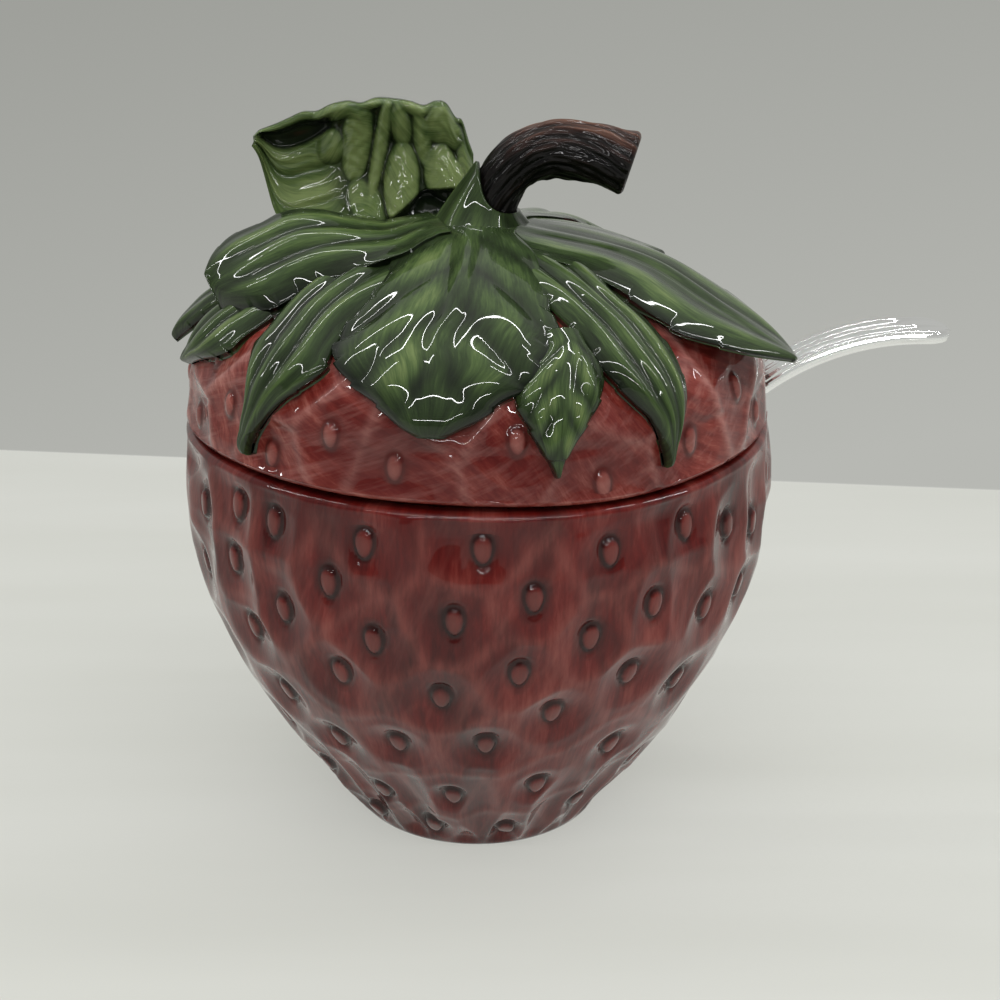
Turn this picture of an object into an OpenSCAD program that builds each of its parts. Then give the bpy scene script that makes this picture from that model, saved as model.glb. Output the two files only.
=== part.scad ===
// Strawberry jam pot: a glazed earthenware pot, a lid dressed with leaves and a stem, and a clear spoon.
// Millimetres. Origin at the centre of the flat base, +Z up, +X through the notch that the spoon leaves by.

/* [Pot] */
// Height from the base to the rim
pot_h = 72; // [68:1:76]
// Radius of the flat base
base_r = 22; // [19:0.5:25]
// Outside radius at the rim
rim_r = 49.2; // [47:0.2:52]
// Height of the widest place
belly_h = 61; // [57:1:64]
// Radius of the side's upper arc
belly_arc_r = 57; // [52:1:66]
// Radius of the side's lower arc
toe_arc_r = 182; // [150:2:260]
// Wall, measured square to the surface
pot_wall = 4.2; // [3.6:0.1:5]
// Thickness of the floor
floor_t = 5; // [4:0.2:6.5]
// Radius that softens the edges of the rim
rim_round = 1.1; // [0.6:0.1:1.5]

/* [Lid] */
// Height of the lid from its lower edge to its crown
lid_rise = 31; // [29:0.5:35]
// Height of the near-upright skirt
skirt_h = 8; // [7:0.5:10]
// How far the skirt leans in over its height
skirt_lean = 0.7; // [0.2:0.1:1.2]
// Radius of the rounded shoulder
shoulder_r = 13.5; // [12:0.5:16]
// Wall of the lid
lid_wall = 3.8; // [3.2:0.1:4.4]
// Gap between the lid's edge and the pot's rim
seat_gap = 0.3; // [0.2:0.05:0.5]
// How far the locating flange reaches below the lid's edge
flange_drop = 5; // [3.5:0.5:7]
// Wall of the flange
flange_t = 3; // [2.4:0.2:3.6]
// Radial clearance between the flange and the mouth
flange_gap = 1; // [0.6:0.1:1.6]
// Width of the spoon notch
notch_w = 13.6; // [12.5:0.1:16]
// Height of the spoon notch above the lid's edge
notch_h = 7.6; // [7:0.1:9]
// Radius of the notch's upper corners
notch_round = 3; // [1.5:0.5:4]

/* [Seeds] */
// Half-length of a seed
seed_half_l = 2.3; // [2.1:0.1:2.5]
// Half-width of a seed
seed_half_w = 1.6; // [1.3:0.1:1.8]
// Radius of the hollow that a seed lies in
dimple_r = 5.9; // [4.8:0.1:6.2]
// Depth of that hollow
dimple_d = 1.2; // [0.9:0.1:1.4]

/* [Leaves] */
// Thickness of a leaf where it is fullest
leaf_t = 2.8; // [2.2:0.1:3.2]
// Gap between a leaf and what it lies on
leaf_gap = 0.3; // [0.2:0.05:0.4]
// Radius of the crown that the leaves spring from
crown_r = 8.6; // [8:0.2:8.8]
// Height of the crown above the lid
crown_rise = 3.4; // [3:0.2:4.4]
// Length of the broad leaves
broad_l = 46; // [42:0.5:48]
// Half-width of the broad leaves
broad_half_w = 17.4; // [15:0.2:17.6]
// Length of the broad leaf that rises at the left
left_l = 36; // [33:0.5:38]
// Half-width of that leaf
left_half_w = 14; // [12:0.2:14.4]
// Length of the narrow leaves that come out between the broad ones
blade_l = 38; // [34:0.2:38.8]
// Half-width of the narrow leaves
blade_half_w = 7.2; // [6:0.1:7.4]
// Length of the small leaf in front
bract_l = 20; // [17:0.5:21]
// Half-width of the small leaf in front
bract_half_w = 7; // [5.5:0.1:7.1]
// Length of the leaf that stands off the shoulder
spur_l = 49; // [45:0.5:51]
// Half-width of the leaf that stands off the shoulder
spur_half_w = 10.2; // [8.6:0.2:10.4]
// Length of the pointed leaves that show between the broad ones
point_l = 17; // [14:0.5:18]
// Half-width of those leaves
point_half_w = 6; // [4.8:0.1:6.2]
// Length of the raised leaf along its foot
sail_l = 37; // [33:0.5:38]
// Height of the raised leaf above the lid
sail_h = 21; // [17:0.5:22]
// Thickness of the raised leaf
sail_t = 3; // [2.4:0.1:3.2]

/* [Stem] */
// Radius of the stem where it leaves the crown
stem_root_r = 3.9; // [3.4:0.1:4.1]
// Radius of the stem at its cut end
stem_end_r = 5; // [4.4:0.1:5.6]
// Height that the stem's axis climbs above the crown
stem_rise = 10.4; // [9.4:0.2:12]
// Reach of the stem from its root to its cut end
stem_reach = 22.8; // [20:0.2:25]
// Depth of the grooves that run along the bark
bark_d = 0.45; // [0.2:0.05:0.6]

/* [Spoon] */
// Width of the handle at its end
handle_w = 10; // [8.5:0.1:10.6]
// Width of the neck
neck_w = 6.4; // [5:0.1:7]
// Thickness of the handle at its ribs
handle_t = 2.4; // [2:0.1:2.8]
// Depth of the grooves between the ribs
groove_d = 0.7; // [0.3:0.1:0.9]
// Radius that the handle is bent to
bend_r = 43; // [41:0.5:46]
// Slope of the handle where it crosses the rim
rest_slope = 45.5; // [43:0.5:47]
// Slope of the spoon's straight part
spoon_slope = 58; // [56:0.5:60]
// Slope that the handle's end has fallen to
end_fall = 7; // [2:0.5:12]
// Gap between the spoon and what it rests on
rest_gap = 0.3; // [0.2:0.05:0.4]
// Length of the bowl
bowl_l = 30; // [26:0.5:32]
// Half-width of the bowl
bowl_half_w = 10.5; // [9:0.1:11]
// Depth of the bowl
bowl_d = 4.4; // [3.4:0.1:5]
// Wall of the bowl
bowl_t = 1.5; // [1.2:0.1:1.8]

/* [Hidden] */
// Overrun of every cut past what it cuts
overrun = 1;
// Sides of the large arcs
fine = 240;
$fn = 64;

function unit(v) = v / norm(v);
function degrees(length, radius) = length / radius * 180 / PI;
function flat_turn(v) = atan2(v[1], v[0]);

// Value at t of a table whose rows start with t, from column k, joined by straight lines.
function between(shares, t, k = 1, i = 0) =
  i >= len(shares) - 2 || t <= shares[i + 1][0]
    ? let (part = (t - shares[i][0]) / (shares[i + 1][0] - shares[i][0]))
      shares[i][k] * (1 - part) + shares[i + 1][k] * part
    : between(shares, t, k, i + 1);

// Pot profile: an upper arc from the rim and a lower arc tangent to it, followed by length from the rim.
rim_turn = asin((pot_h - belly_h) / belly_arc_r);
belly_centre = [rim_r - belly_arc_r * cos(rim_turn), belly_h];
to_base = [base_r, 0] - belly_centre;
centre_gap = toe_arc_r - belly_arc_r;
join_lean = -flat_turn(to_base)
  - acos((toe_arc_r ^ 2 - centre_gap ^ 2 - to_base * to_base) / (2 * centre_gap * norm(to_base)));
join_way = [cos(join_lean), -sin(join_lean)];
join = belly_centre + belly_arc_r * join_way;
toe_centre = join - toe_arc_r * join_way;
belly_l = belly_arc_r * (rim_turn + join_lean) * PI / 180;
side_l = belly_l + toe_arc_r * (asin(toe_centre[1] / toe_arc_r) - join_lean) * PI / 180;
mouth_r = rim_r - pot_wall;

function pot_turn(s) =
  s < belly_l ? rim_turn - degrees(s, belly_arc_r) : -join_lean - degrees(s - belly_l, toe_arc_r);
function pot_skin(s) =
  let (way = [cos(pot_turn(s)), sin(pot_turn(s))])
  s < belly_l ? belly_centre + belly_arc_r * way : toe_centre + toe_arc_r * way;

// Half section of the pot's form, inset from its skin, between two heights.
module pot_section(inset, low, high) {
  intersection() {
    translate(belly_centre) circle(r = belly_arc_r - inset, $fn = fine);
    translate([0, join[1]]) square([2 * rim_r, high - join[1]]);
  }
  intersection() {
    translate(toe_centre) circle(r = toe_arc_r - inset, $fn = fine);
    translate([0, low]) square([2 * rim_r, join[1] - low]);
  }
}

// Lid profile: a crown arc, a shoulder arc tangent to it and a straight skirt, by length from the top.
lid_z = pot_h + seat_gap;
lid_top_z = lid_z + lid_rise;
shoulder_z = lid_z + skirt_h;
skirt_top_r = rim_r - skirt_lean;
shoulder_x = skirt_top_r - shoulder_r;
dome_h = lid_top_z - shoulder_z;
dome_r = (shoulder_x ^ 2 + dome_h ^ 2 - shoulder_r ^ 2) / (2 * (dome_h - shoulder_r));
dome_turn = asin(shoulder_x / (dome_r - shoulder_r));
dome_l = dome_r * dome_turn * PI / 180;
shoulder_l = shoulder_r * (90 - dome_turn) * PI / 180;
skirt_l = norm([skirt_lean, skirt_h]);
lid_l = dome_l + shoulder_l + skirt_l;

// Point [radius, height] at length s from the top of the lid, h above its surface.
function lid_skin(s, h) =
  s < dome_l
    ? let (a = degrees(s, dome_r)) [0, lid_top_z - dome_r] + (dome_r + h) * [sin(a), cos(a)]
  : s < dome_l + shoulder_l
    ? let (a = dome_turn + degrees(s - dome_l, shoulder_r))
      [shoulder_x, shoulder_z] + (shoulder_r + h) * [sin(a), cos(a)]
  : let (part = (s - dome_l - shoulder_l) / skirt_l)
    [skirt_top_r + skirt_lean * part, shoulder_z - skirt_h * part] + h * unit([skirt_h, skirt_lean]);

// The same for a leaf that leaves the lid at length loose and runs on straight.
function lid_fall(s) = s < dome_l ? degrees(s, dome_r) : dome_turn + degrees(s - dome_l, shoulder_r);
function leaf_skin(s, h, loose) =
  s < loose
    ? lid_skin(s, h)
  : lid_skin(loose, h) + (s - loose) * [cos(lid_fall(loose)), -sin(lid_fall(loose))];

// Lays the point p = [x, y] of a flat drawing on the lid, h above it.
function laid(p, h, loose) =
  let (q = leaf_skin(norm(p), h, loose), a = flat_turn(p))
  [q[0] * cos(a), q[0] * sin(a), q[1]];

// Closed sheet between two grids of points, top[i][j] and under[i][j], with i along it and j to its left.
module sheet(top, under) {
  n = len(top);
  m = len(top[0]);
  function at(i, j, low) = (low * n + i) * m + j;
  points = [for (grid = [top, under]) for (row = grid) for (p = row) p];
  quads = [
    for (i = [0:n - 2]) for (j = [0:m - 2])
      [at(i, j, 0), at(i, j + 1, 0), at(i + 1, j + 1, 0), at(i + 1, j, 0)],
    for (i = [0:n - 2]) for (j = [0:m - 2])
      [at(i, j, 1), at(i + 1, j, 1), at(i + 1, j + 1, 1), at(i, j + 1, 1)],
    for (i = [0:n - 2]) [at(i, 0, 0), at(i + 1, 0, 0), at(i + 1, 0, 1), at(i, 0, 1)],
    for (i = [0:n - 2]) [at(i, m - 1, 0), at(i, m - 1, 1), at(i + 1, m - 1, 1), at(i + 1, m - 1, 0)],
    for (j = [0:m - 2]) [at(0, j, 0), at(0, j, 1), at(0, j + 1, 1), at(0, j + 1, 0)],
    for (j = [0:m - 2]) [at(n - 1, j, 0), at(n - 1, j + 1, 0), at(n - 1, j + 1, 1), at(n - 1, j, 1)]
  ];
  triangles = [for (q = quads) for (half = [1, 2]) [q[0], q[half], q[half + 1]]];
  polyhedron(points, triangles, convexity = 6);
}

// Thickness across a leaf: thin edges, two full lobes and a sunk rib.
lobe_shares = [[-1, 0.4], [-0.8, 0.72], [-0.45, 1], [0, 0.66], [0.45, 1], [0.8, 0.72], [1, 0.4]];
leaf_rows = 12;
leaf_columns = 8;

// Share of its thickness that a leaf has at its root, and the way along by which it is full
root_share = 0.45;
full_way = 0.3;

// Leaf drawn flat along +X from its root, then laid on the lid. Each row of shares holds the way along,
// the right edge, the left edge and the lift of the right edge.
module leaf(turn, root, length, half_w, shares, loose, lift, full = 1) {
  function flat(t, w) =
    [root + t * length, half_w * (between(shares, t, 1) * (1 - w) + between(shares, t, 2) * (1 + w)) / 2];
  function thick(t) = full * leaf_t * (root_share + (1 - root_share) * min(1, t / full_way));
  function height(t, w, over) =
    leaf_gap + lift * between(shares, t, 3) * (1 - w) / 2 + over * thick(t) * between(lobe_shares, w);
  function grid(over) = [
    for (i = [0:leaf_rows]) [
      for (j = [0:leaf_columns])
        let (t = i / leaf_rows, w = 2 * j / leaf_columns - 1)
        laid(flat(t, w), height(t, w, over), loose)
    ]
  ];
  color("forestgreen") rotate([0, 0, turn]) sheet(grid(1), grid(0));
}

root_s = crown_r + leaf_gap;
tight = lid_l;
// Length of the low leaf above the notch, and its share of a leaf's thickness
low_leaf_l = 0.7 * blade_l;
low_leaf_share = 0.45;
// Half-width of the three broad leaves at the back
back_half_w = 0.71 * broad_half_w;
// Lengths from the lid's top to where the leaves that come out from between others begin
blade_root = 24;
right_root = 20.5;
bract_root = 41;
point_root = 43.6;
spur_root = 37;
small_root = 44.6;
// Length and half-width of the small leaf at the left
small_l = 9;
small_half_w = 8;
// Lengths from the lid's top to where the standing leaves leave the lid
spur_loose = 36.5;
left_loose = 30;
left_spur_loose = 47;
// Rise of a standing leaf's right edge off the lid
spur_lift = 1.4;
left_lift = 8;

broad_shares = [
  [0, -0.22, 0.22, 0], [0.14, -0.4, 0.42, 0], [0.28, -0.54, 0.62, 0], [0.46, -0.76, 0.86, 0],
  [0.59, -0.9, 1, 0], [0.67, -1, 0.92, 0], [0.8, -0.7, 0.69, 0], [0.92, -0.36, 0.4, 0],
  [1, -0.06, 0.06, 0]
];
front_left_shares = [
  [0, 0.2, 0.58, 0], [0.19, -0.08, 0.78, 0], [0.32, -0.36, 0.96, 0], [0.45, -0.54, 1.14, 0],
  [0.54, -0.6, 1.4, 0], [0.7, -0.46, 1.3, 0], [0.8, -0.34, 0.86, 0], [0.88, -0.28, 0.4, 0],
  [1, -0.24, -0.08, 0]
];
front_right_shares = [
  [0, -0.34, 0.02, 0], [0.085, -0.46, 0.38, 0], [0.23, -0.62, 0.66, 0], [0.465, -0.94, 0.84, 0],
  [0.63, -0.94, 0.94, 0], [0.8, -0.46, 0.9, 0], [0.89, -0.1, 0.62, 0], [1, 0.1, 0.28, 0]
];
blade_shares = [
  [0, -0.26, 0.26, 0], [0.16, -0.46, 0.46, 0], [0.3, -0.7, 0.7, 0], [0.52, -1, 1, 0],
  [0.72, -0.8, 0.8, 0], [0.88, -0.4, 0.4, 0], [1, -0.08, 0.08, 0]
];
bract_shares = [
  [0, 0.5, 0.66, 0], [0.15, -0.14, 0.78, 0], [0.28, -0.66, 0.88, 0], [0.45, -1, 0.96, 0],
  [0.6, -0.92, 0.88, 0], [0.8, -0.62, 0.38, 0], [1, -0.34, -0.2, 0]
];
point_shares = [
  [0, -0.16, 0.16, 0], [0.26, -0.84, 0.7, 0], [0.42, -1.06, 0.66, 0], [0.6, -1, 0.3, 0],
  [0.8, -0.74, -0.04, 0], [1, -0.5, -0.34, 0]
];
spur_shares = [
  [0, -0.55, 0.36, 0], [0.06, -0.88, 0.5, 0.1], [0.13, -0.92, 0.7, 0.1], [0.27, -0.84, 1.05, 0.3],
  [0.42, -0.96, 1.25, 0.5], [0.6, -1.26, 1.2, 0.8], [0.7, -1.28, 1, 1], [0.8, -1.08, 0.78, 1],
  [0.91, -0.68, 0.48, 1], [1, -0.06, 0.08, 1]
];
left_shares = [
  [0, -0.24, 0.4, 0.4], [0.08, -0.25, 0.58, 0.5], [0.18, -0.26, 0.8, 0.6], [0.3, -0.26, 0.84, 0.7],
  [0.55, -0.28, 0.82, 1], [0.66, -0.29, 0.8, 1], [0.86, -0.3, 0.76, 0.95], [0.93, -0.22, 0.5, 0.85],
  [1, -0.02, 0.2, 0.7]
];
left_spur_shares = [
  [0, -0.3, 0.9, 0], [0.25, -0.5, 1, 0], [0.5, -0.66, 0.84, 0], [0.75, -0.44, 0.5, 0], [1, -0.1, 0.1, 0]
];
short_shares = [
  [0, -0.9, 1.1, 0], [0.35, -0.92, 1.04, 0], [0.65, -0.76, 0.56, 0], [1, -0.66, -0.46, 0]
];

module front_leaf() {
  leaf(-97, root_s, broad_l, broad_half_w, broad_shares, tight, 0);
}

module front_left_leaf() {
  leaf(-133, blade_root, blade_l, blade_half_w, front_left_shares, tight, 0);
}

module front_bract() {
  leaf(-75, bract_root, bract_l, bract_half_w, bract_shares, tight, 0);
}

module front_right_leaf() {
  leaf(-57.5, right_root, blade_l + blade_root - right_root, blade_half_w, front_right_shares, tight, 0);
}

module right_spur_leaf() {
  leaf(-26, root_s, spur_l, spur_half_w, spur_shares, spur_loose, spur_lift);
}

module right_leaf() {
  leaf(20, root_s, low_leaf_l, blade_half_w, blade_shares, tight, 0, low_leaf_share);
}

module back_right_leaf() {
  leaf(66, root_s, broad_l, back_half_w, broad_shares, tight, 0);
}

module back_right_bract() {
  leaf(85, point_root, point_l, point_half_w, point_shares, tight, 0);
}

module back_leaf() {
  leaf(104, root_s, broad_l, back_half_w, broad_shares, tight, 0);
}

module back_left_bract() {
  leaf(123, point_root, point_l, point_half_w, point_shares, tight, 0);
}

module back_left_leaf() {
  leaf(142, root_s, broad_l, back_half_w, broad_shares, tight, 0);
}

module left_spur_leaf() {
  leaf(-177, spur_root, small_l * 2, point_half_w, left_spur_shares, left_spur_loose, 0);
}

module left_small_leaf() {
  leaf(-157, small_root, small_l, small_half_w, short_shares, tight, 0);
}

module left_broad_leaf() {
  leaf(-162, root_s, left_l, left_half_w, left_shares, left_loose, left_lift);
}

// Raised leaf: a sheet that stands on its foot behind the left broad leaf.
// Each row of shares holds the way along, the foot and the top.
sail_turn = 180;
sail_root = 0.6;
sail_back = 6.2;
sail_curl = 3.4;
sail_ripple = 0.7;
sail_rows = 18;
sail_columns = 6;
sail_shares = [
  [0, 0.3, 0.48], [0.06, 0.26, 0.8], [0.16, 0.23, 0.98], [0.3, 0.2, 1], [0.5, 0.15, 0.99],
  [0.7, 0.11, 0.92], [0.84, 0.1, 0.82], [0.94, 0.24, 0.71], [1, 0.44, 0.62]
];

module raised_leaf() {
  function spot(t, v, side) =
    let (
      foot = sail_h * between(sail_shares, t, 1),
      top = sail_h * between(sail_shares, t, 2),
      bow = sail_curl * sin(180 * v) - sail_curl * t * v ^ 3,
      ripple = sail_ripple * sin(1080 * t) * sin(180 * v)
    )
    [
      sail_root + t * sail_l,
      ripple - sail_back - bow + side * sail_t / 2,
      lid_top_z + foot + (top - foot) * v
    ];
  function grid(side) = [
    for (i = [0:sail_rows]) [for (j = [0:sail_columns]) spot(i / sail_rows, j / sail_columns, side)]
  ];
  color("forestgreen") rotate([0, 0, sail_turn]) sheet(grid(-1), grid(1));
}

// Seed: two balls that make a drop, standing on Z, the small one up.
small_ball_share = 0.8;
seed_sink_share = 0.3;

module seed() {
  small_r = seed_half_w * small_ball_share;
  translate([0, 0, seed_half_w - seed_half_l]) sphere(r = seed_half_w);
  translate([0, 0, seed_half_l - small_r]) sphere(r = small_r);
}

// Puts a child at a point [radius, height] of a skin that faces up by tilt, its X outward, turned about Z.
module on_skin(at, tilt, turn) {
  rotate([0, 0, turn])
    translate([at[0], 0, at[1]])
      rotate([0, -tilt, 0])
        children();
}

// Hollows shrink towards the base with the room round the pot, down to this share.
small_dimple_share = 0.62;
ball_r = (dimple_r ^ 2 + dimple_d ^ 2) / (2 * dimple_d);

// Seeds of the front half: the turn in degrees and the way down the side. The back half repeats them.
pot_seed_shares = [
  [-153, 0.113], [-139, 0.07], [-129, 0.075], [-110, 0.075], [-89, 0.07], [-66, 0.094],
  [-49, 0.082], [-36, 0.126], [-12, 0.101], [-171, 0.176], [-141, 0.189], [-117, 0.167],
  [-94, 0.224], [-80, 0.176], [-56, 0.231], [-24, 0.164], [-8, 0.252], [-158, 0.264],
  [-139, 0.34], [-128, 0.255], [-109, 0.282], [-69, 0.279], [-41, 0.292], [-26, 0.302],
  [-173, 0.352], [-156, 0.44], [-117, 0.377], [-97, 0.415], [-82, 0.352], [-58.5, 0.399],
  [-15, 0.428], [-171, 0.541], [-137, 0.509], [-74, 0.478], [-41, 0.484], [-1, 0.541],
  [-150, 0.642], [-126, 0.616], [-108.5, 0.579], [-88, 0.569], [-54, 0.64], [-24, 0.604],
  [-172, 0.717], [-73, 0.732], [-8, 0.717], [-146, 0.792], [-121, 0.799], [-97, 0.767],
  [-54, 0.845], [-36, 0.755], [-160, 0.893], [-134, 0.931], [-107, 0.926], [-79, 0.93],
  [-20, 0.881]
];

// One child at every seed of the pot.
module pot_seeds() {
  for (seed_share = pot_seed_shares)
    for (half = [0, 180]) {
      s = seed_share[1] * side_l;
      $room_share = max(small_dimple_share, pot_skin(s)[0] / rim_r);
      on_skin(pot_skin(s), pot_turn(s), seed_share[0] + half) children();
    }
}

module pot() {
  edge_r = belly_centre[0] + sqrt(belly_arc_r ^ 2 - (pot_h - rim_round - belly_h) ^ 2);
  color("firebrick") {
    difference() {
      rotate_extrude()
        difference() {
          union() {
            pot_section(0, 0, pot_h - rim_round);
            translate([0, pot_h - rim_round]) square([edge_r - rim_round, rim_round]);
            translate([edge_r - rim_round, pot_h - rim_round]) circle(r = rim_round);
          }
          pot_section(pot_wall, floor_t, pot_h + overrun);
        }
      pot_seeds() translate([(ball_r - dimple_d) * $room_share, 0, 0]) sphere(r = ball_r * $room_share);
    }
    pot_seeds() translate([-dimple_d * $room_share - seed_half_w * seed_sink_share, 0, 0]) seed();
  }
}

// Half section of the lid's form, raised by h, from height low to the top.
module lid_section(h, low) {
  turn_r = (dome_r + h) * sin(dome_turn);
  intersection() {
    translate([0, lid_top_z - dome_r]) circle(r = dome_r + h, $fn = fine);
    translate([0, shoulder_z]) square([turn_r, lid_top_z]);
  }
  intersection() {
    translate([shoulder_x, shoulder_z]) circle(r = shoulder_r + h, $fn = fine);
    translate([turn_r, shoulder_z]) square([rim_r, lid_top_z]);
  }
  polygon([[0, low], [rim_r + h, low], [rim_r + h, lid_z], [skirt_top_r + h, shoulder_z], [0, shoulder_z]]);
}

// Seeds of the lid: the turn in degrees and the way down from the lid's top.
lid_seed_shares = [
  [-117, 0.858], [-104.5, 0.916], [-83, 0.844], [-67.5, 0.952], [-48, 0.899], [-130, 0.937],
  [-143, 0.853], [-157, 0.929], [-171, 0.869], [-32, 0.823], [-22, 0.922], [25, 0.899],
  [38, 0.823], [52, 0.922], [66, 0.838], [80, 0.929], [94, 0.853], [108, 0.929],
  [122, 0.846], [136, 0.929], [150, 0.853], [163, 0.929], [175, 0.838]
];
lid_dimple_share = 0.7;

// One child at every seed of the lid. A seed that would meet the notch is left out.
module lid_seeds() {
  for (seed_share = lid_seed_shares)
    if (cos(seed_share[0]) < cos(degrees(notch_w / 2 + dimple_r, rim_r))) {
      s = seed_share[1] * lid_l;
      tilt = flat_turn(lid_skin(s, dimple_r) - lid_skin(s, 0));
      on_skin(lid_skin(s, 0), tilt, seed_share[0]) children();
    }
}

module notch() {
  translate([shoulder_x, 0, lid_z - flange_drop - overrun])
    rotate([90, 0, 90])
      linear_extrude(height = rim_r)
        union() {
          translate([-notch_w / 2, 0]) square([notch_w, notch_h + flange_drop + overrun - notch_round]);
          translate([notch_round - notch_w / 2, 0])
            square([notch_w - 2 * notch_round, notch_h + flange_drop + overrun]);
          for (side = [-1, 1])
            translate([side * (notch_w / 2 - notch_round), notch_h + flange_drop + overrun - notch_round])
              circle(r = notch_round);
        }
}

module lid() {
  flange_r = mouth_r - flange_gap;
  dimple = dimple_d * lid_dimple_share;
  lid_ball_r = (dimple_r ^ 2 + dimple ^ 2) / (2 * dimple);
  color("indianred")
    difference() {
      union() {
        difference() {
          rotate_extrude()
            union() {
              difference() {
                lid_section(0, lid_z);
                lid_section(-lid_wall, lid_z - overrun);
              }
              translate([flange_r - flange_t, lid_z - flange_drop])
                square([flange_t, flange_drop + lid_wall]);
              translate([flange_r - flange_t, lid_z])
                square([rim_r - lid_wall / 2 - flange_r + flange_t, lid_wall]);
            }
          lid_seeds() translate([lid_ball_r - dimple, 0, 0]) sphere(r = lid_ball_r);
        }
        lid_seeds() translate([-dimple - seed_half_w * seed_sink_share, 0, 0]) seed();
      }
      notch();
    }
}

// Crown: a low boss on the lid's top with a green sheath that climbs one side of the stem.
crown_lean = 1.6;
sheath_turn = 100;
sheath_h = 7;
sheath_t = 2;
stem_out = 2.4;
stem_turn = -8;
crown_top_z = lid_top_z + crown_rise;

module crown() {
  color("darkgreen") {
    difference() {
      translate([0, 0, lid_top_z - crown_rise])
        rotate_extrude()
          polygon([
            [0, 0], [crown_r, 0], [crown_r, crown_rise],
            [crown_r - crown_lean, 2 * crown_rise], [0, 2 * crown_rise]
          ]);
      translate([0, 0, lid_top_z - dome_r]) sphere(r = dome_r + leaf_gap, $fn = fine);
    }
    rotate([0, 0, stem_turn])
      translate([stem_out, 0, crown_top_z])
        rotate([0, 0, 180 - sheath_turn / 2])
          rotate_extrude(angle = sheath_turn)
            translate([stem_root_r + leaf_gap, 0]) polygon([[0, 0], [sheath_t, 0], [0, sheath_h]]);
  }
}

// Stem: a lobed section swept along a cubic curve that rises from the crown and bends over.
stem_rings = 18;
stem_sides = 20;
stem_top_share = 1.12;
stem_lean_share = 0.1;
stem_bend_share = 0.5;
stem_fall_share = 0.78;
stem_pull = [
  [0, 0],
  [stem_reach * stem_lean_share, stem_rise * stem_top_share],
  [stem_reach * stem_bend_share, stem_rise * stem_top_share],
  [stem_reach, stem_rise * stem_fall_share]
];

function curve(c, t) =
  c[0] * (1 - t) ^ 3 + 3 * c[1] * t * (1 - t) ^ 2 + 3 * c[2] * t ^ 2 * (1 - t) + c[3] * t ^ 3;
function curve_way(c, t) =
  (c[1] - c[0]) * (1 - t) ^ 2 + 2 * (c[2] - c[1]) * t * (1 - t) + (c[3] - c[2]) * t ^ 2;

module stem() {
  n = stem_rings;
  m = stem_sides;
  rings = [
    for (i = [0:n])
      let (
        t = i / n,
        at = curve(stem_pull, t),
        way = i == 0 ? [0, 1] : unit(curve_way(stem_pull, t)),
        r = stem_root_r + (stem_end_r - stem_root_r) * t
      )
      [
        for (j = [0:m - 1])
          let (a = 360 * j / m, q = r - bark_d * (j % 2))
          [at[0] - way[1] * q * cos(a), q * sin(a), at[1] + way[0] * q * cos(a)]
      ]
  ];
  faces = concat(
    [for (i = [0:n - 1]) for (j = [0:m - 1]) [i * m + j, i * m + (j + 1) % m, (i + 1) * m + j]],
    [
      for (i = [0:n - 1]) for (j = [0:m - 1])
        [i * m + (j + 1) % m, (i + 1) * m + (j + 1) % m, (i + 1) * m + j]
    ],
    [[for (j = [0:m - 1]) m - 1 - j]],
    [[for (j = [0:m - 1]) n * m + j]]
  );
  color("saddlebrown")
    rotate([0, 0, stem_turn])
      translate([stem_out, 0, crown_top_z])
        polyhedron([for (ring = rings) for (p = ring) p], faces, convexity = 4);
}

// Spoon: one sheet along a path in the XZ plane, an arc about bend_centre and then a straight line down.
// The arc's underside passes over the rim's inner edge with rest_gap to spare.
rim_edge = [mouth_r, pot_h];
bend_centre = rim_edge + (bend_r - handle_t / 2 - rest_gap) * [sin(rest_slope), -cos(rest_slope)];
arc_l = bend_r * (spoon_slope + end_fall) * PI / 180;
arc_foot = bend_centre + bend_r * [-sin(spoon_slope), cos(spoon_slope)];
straight_l = (arc_foot[1] - floor_t - rest_gap - bowl_t) / sin(spoon_slope);
spoon_l = arc_l + straight_l;
end_round = handle_w / 2;
spoon_rows = 46;
spoon_columns = 12;

function spoon_turn(u) = u < arc_l ? end_fall - degrees(u, bend_r) : -spoon_slope;
function spoon_point(u) =
  let (a = spoon_turn(u), out = bend_centre + bend_r * [sin(a), cos(a)])
  u < arc_l ? out : out - (u - arc_l) * [cos(a), -sin(a)];

// Half-width of the spoon at u along it: a round end, a slow taper to the neck, then the bowl.
bowl_shares = [
  [0, 0], [0.12, 0.2], [0.24, 0.56], [0.36, 0.84], [0.5, 0.98], [0.62, 1], [0.76, 0.92], [0.87, 0.74],
  [0.95, 0.5], [1, 0.24]
];
function spoon_half_w(u) =
  u < end_round
    ? max(handle_w / 2 * sqrt(1 - (1 - u / end_round) ^ 2), handle_t / 2)
  : u < spoon_l - bowl_l
    ? let (part = (u - end_round) / (spoon_l - bowl_l - end_round))
      (handle_w * (1 - part) + neck_w * part) / 2
  : let (way = (u - spoon_l + bowl_l) / bowl_l, part = between(bowl_shares, way))
    neck_w / 2 * (1 - part) + bowl_half_w * part - (neck_w - handle_t) / 2 * max(0, way - 0.9);

// Depth across the handle: two grooves between three ribs.
rib_shares = [
  [-1, 0], [-0.8, 0], [-0.6, 1], [-0.28, 1], [-0.14, 0], [0.14, 0], [0.28, 1], [0.6, 1], [0.8, 0], [1, 0]
];

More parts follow.
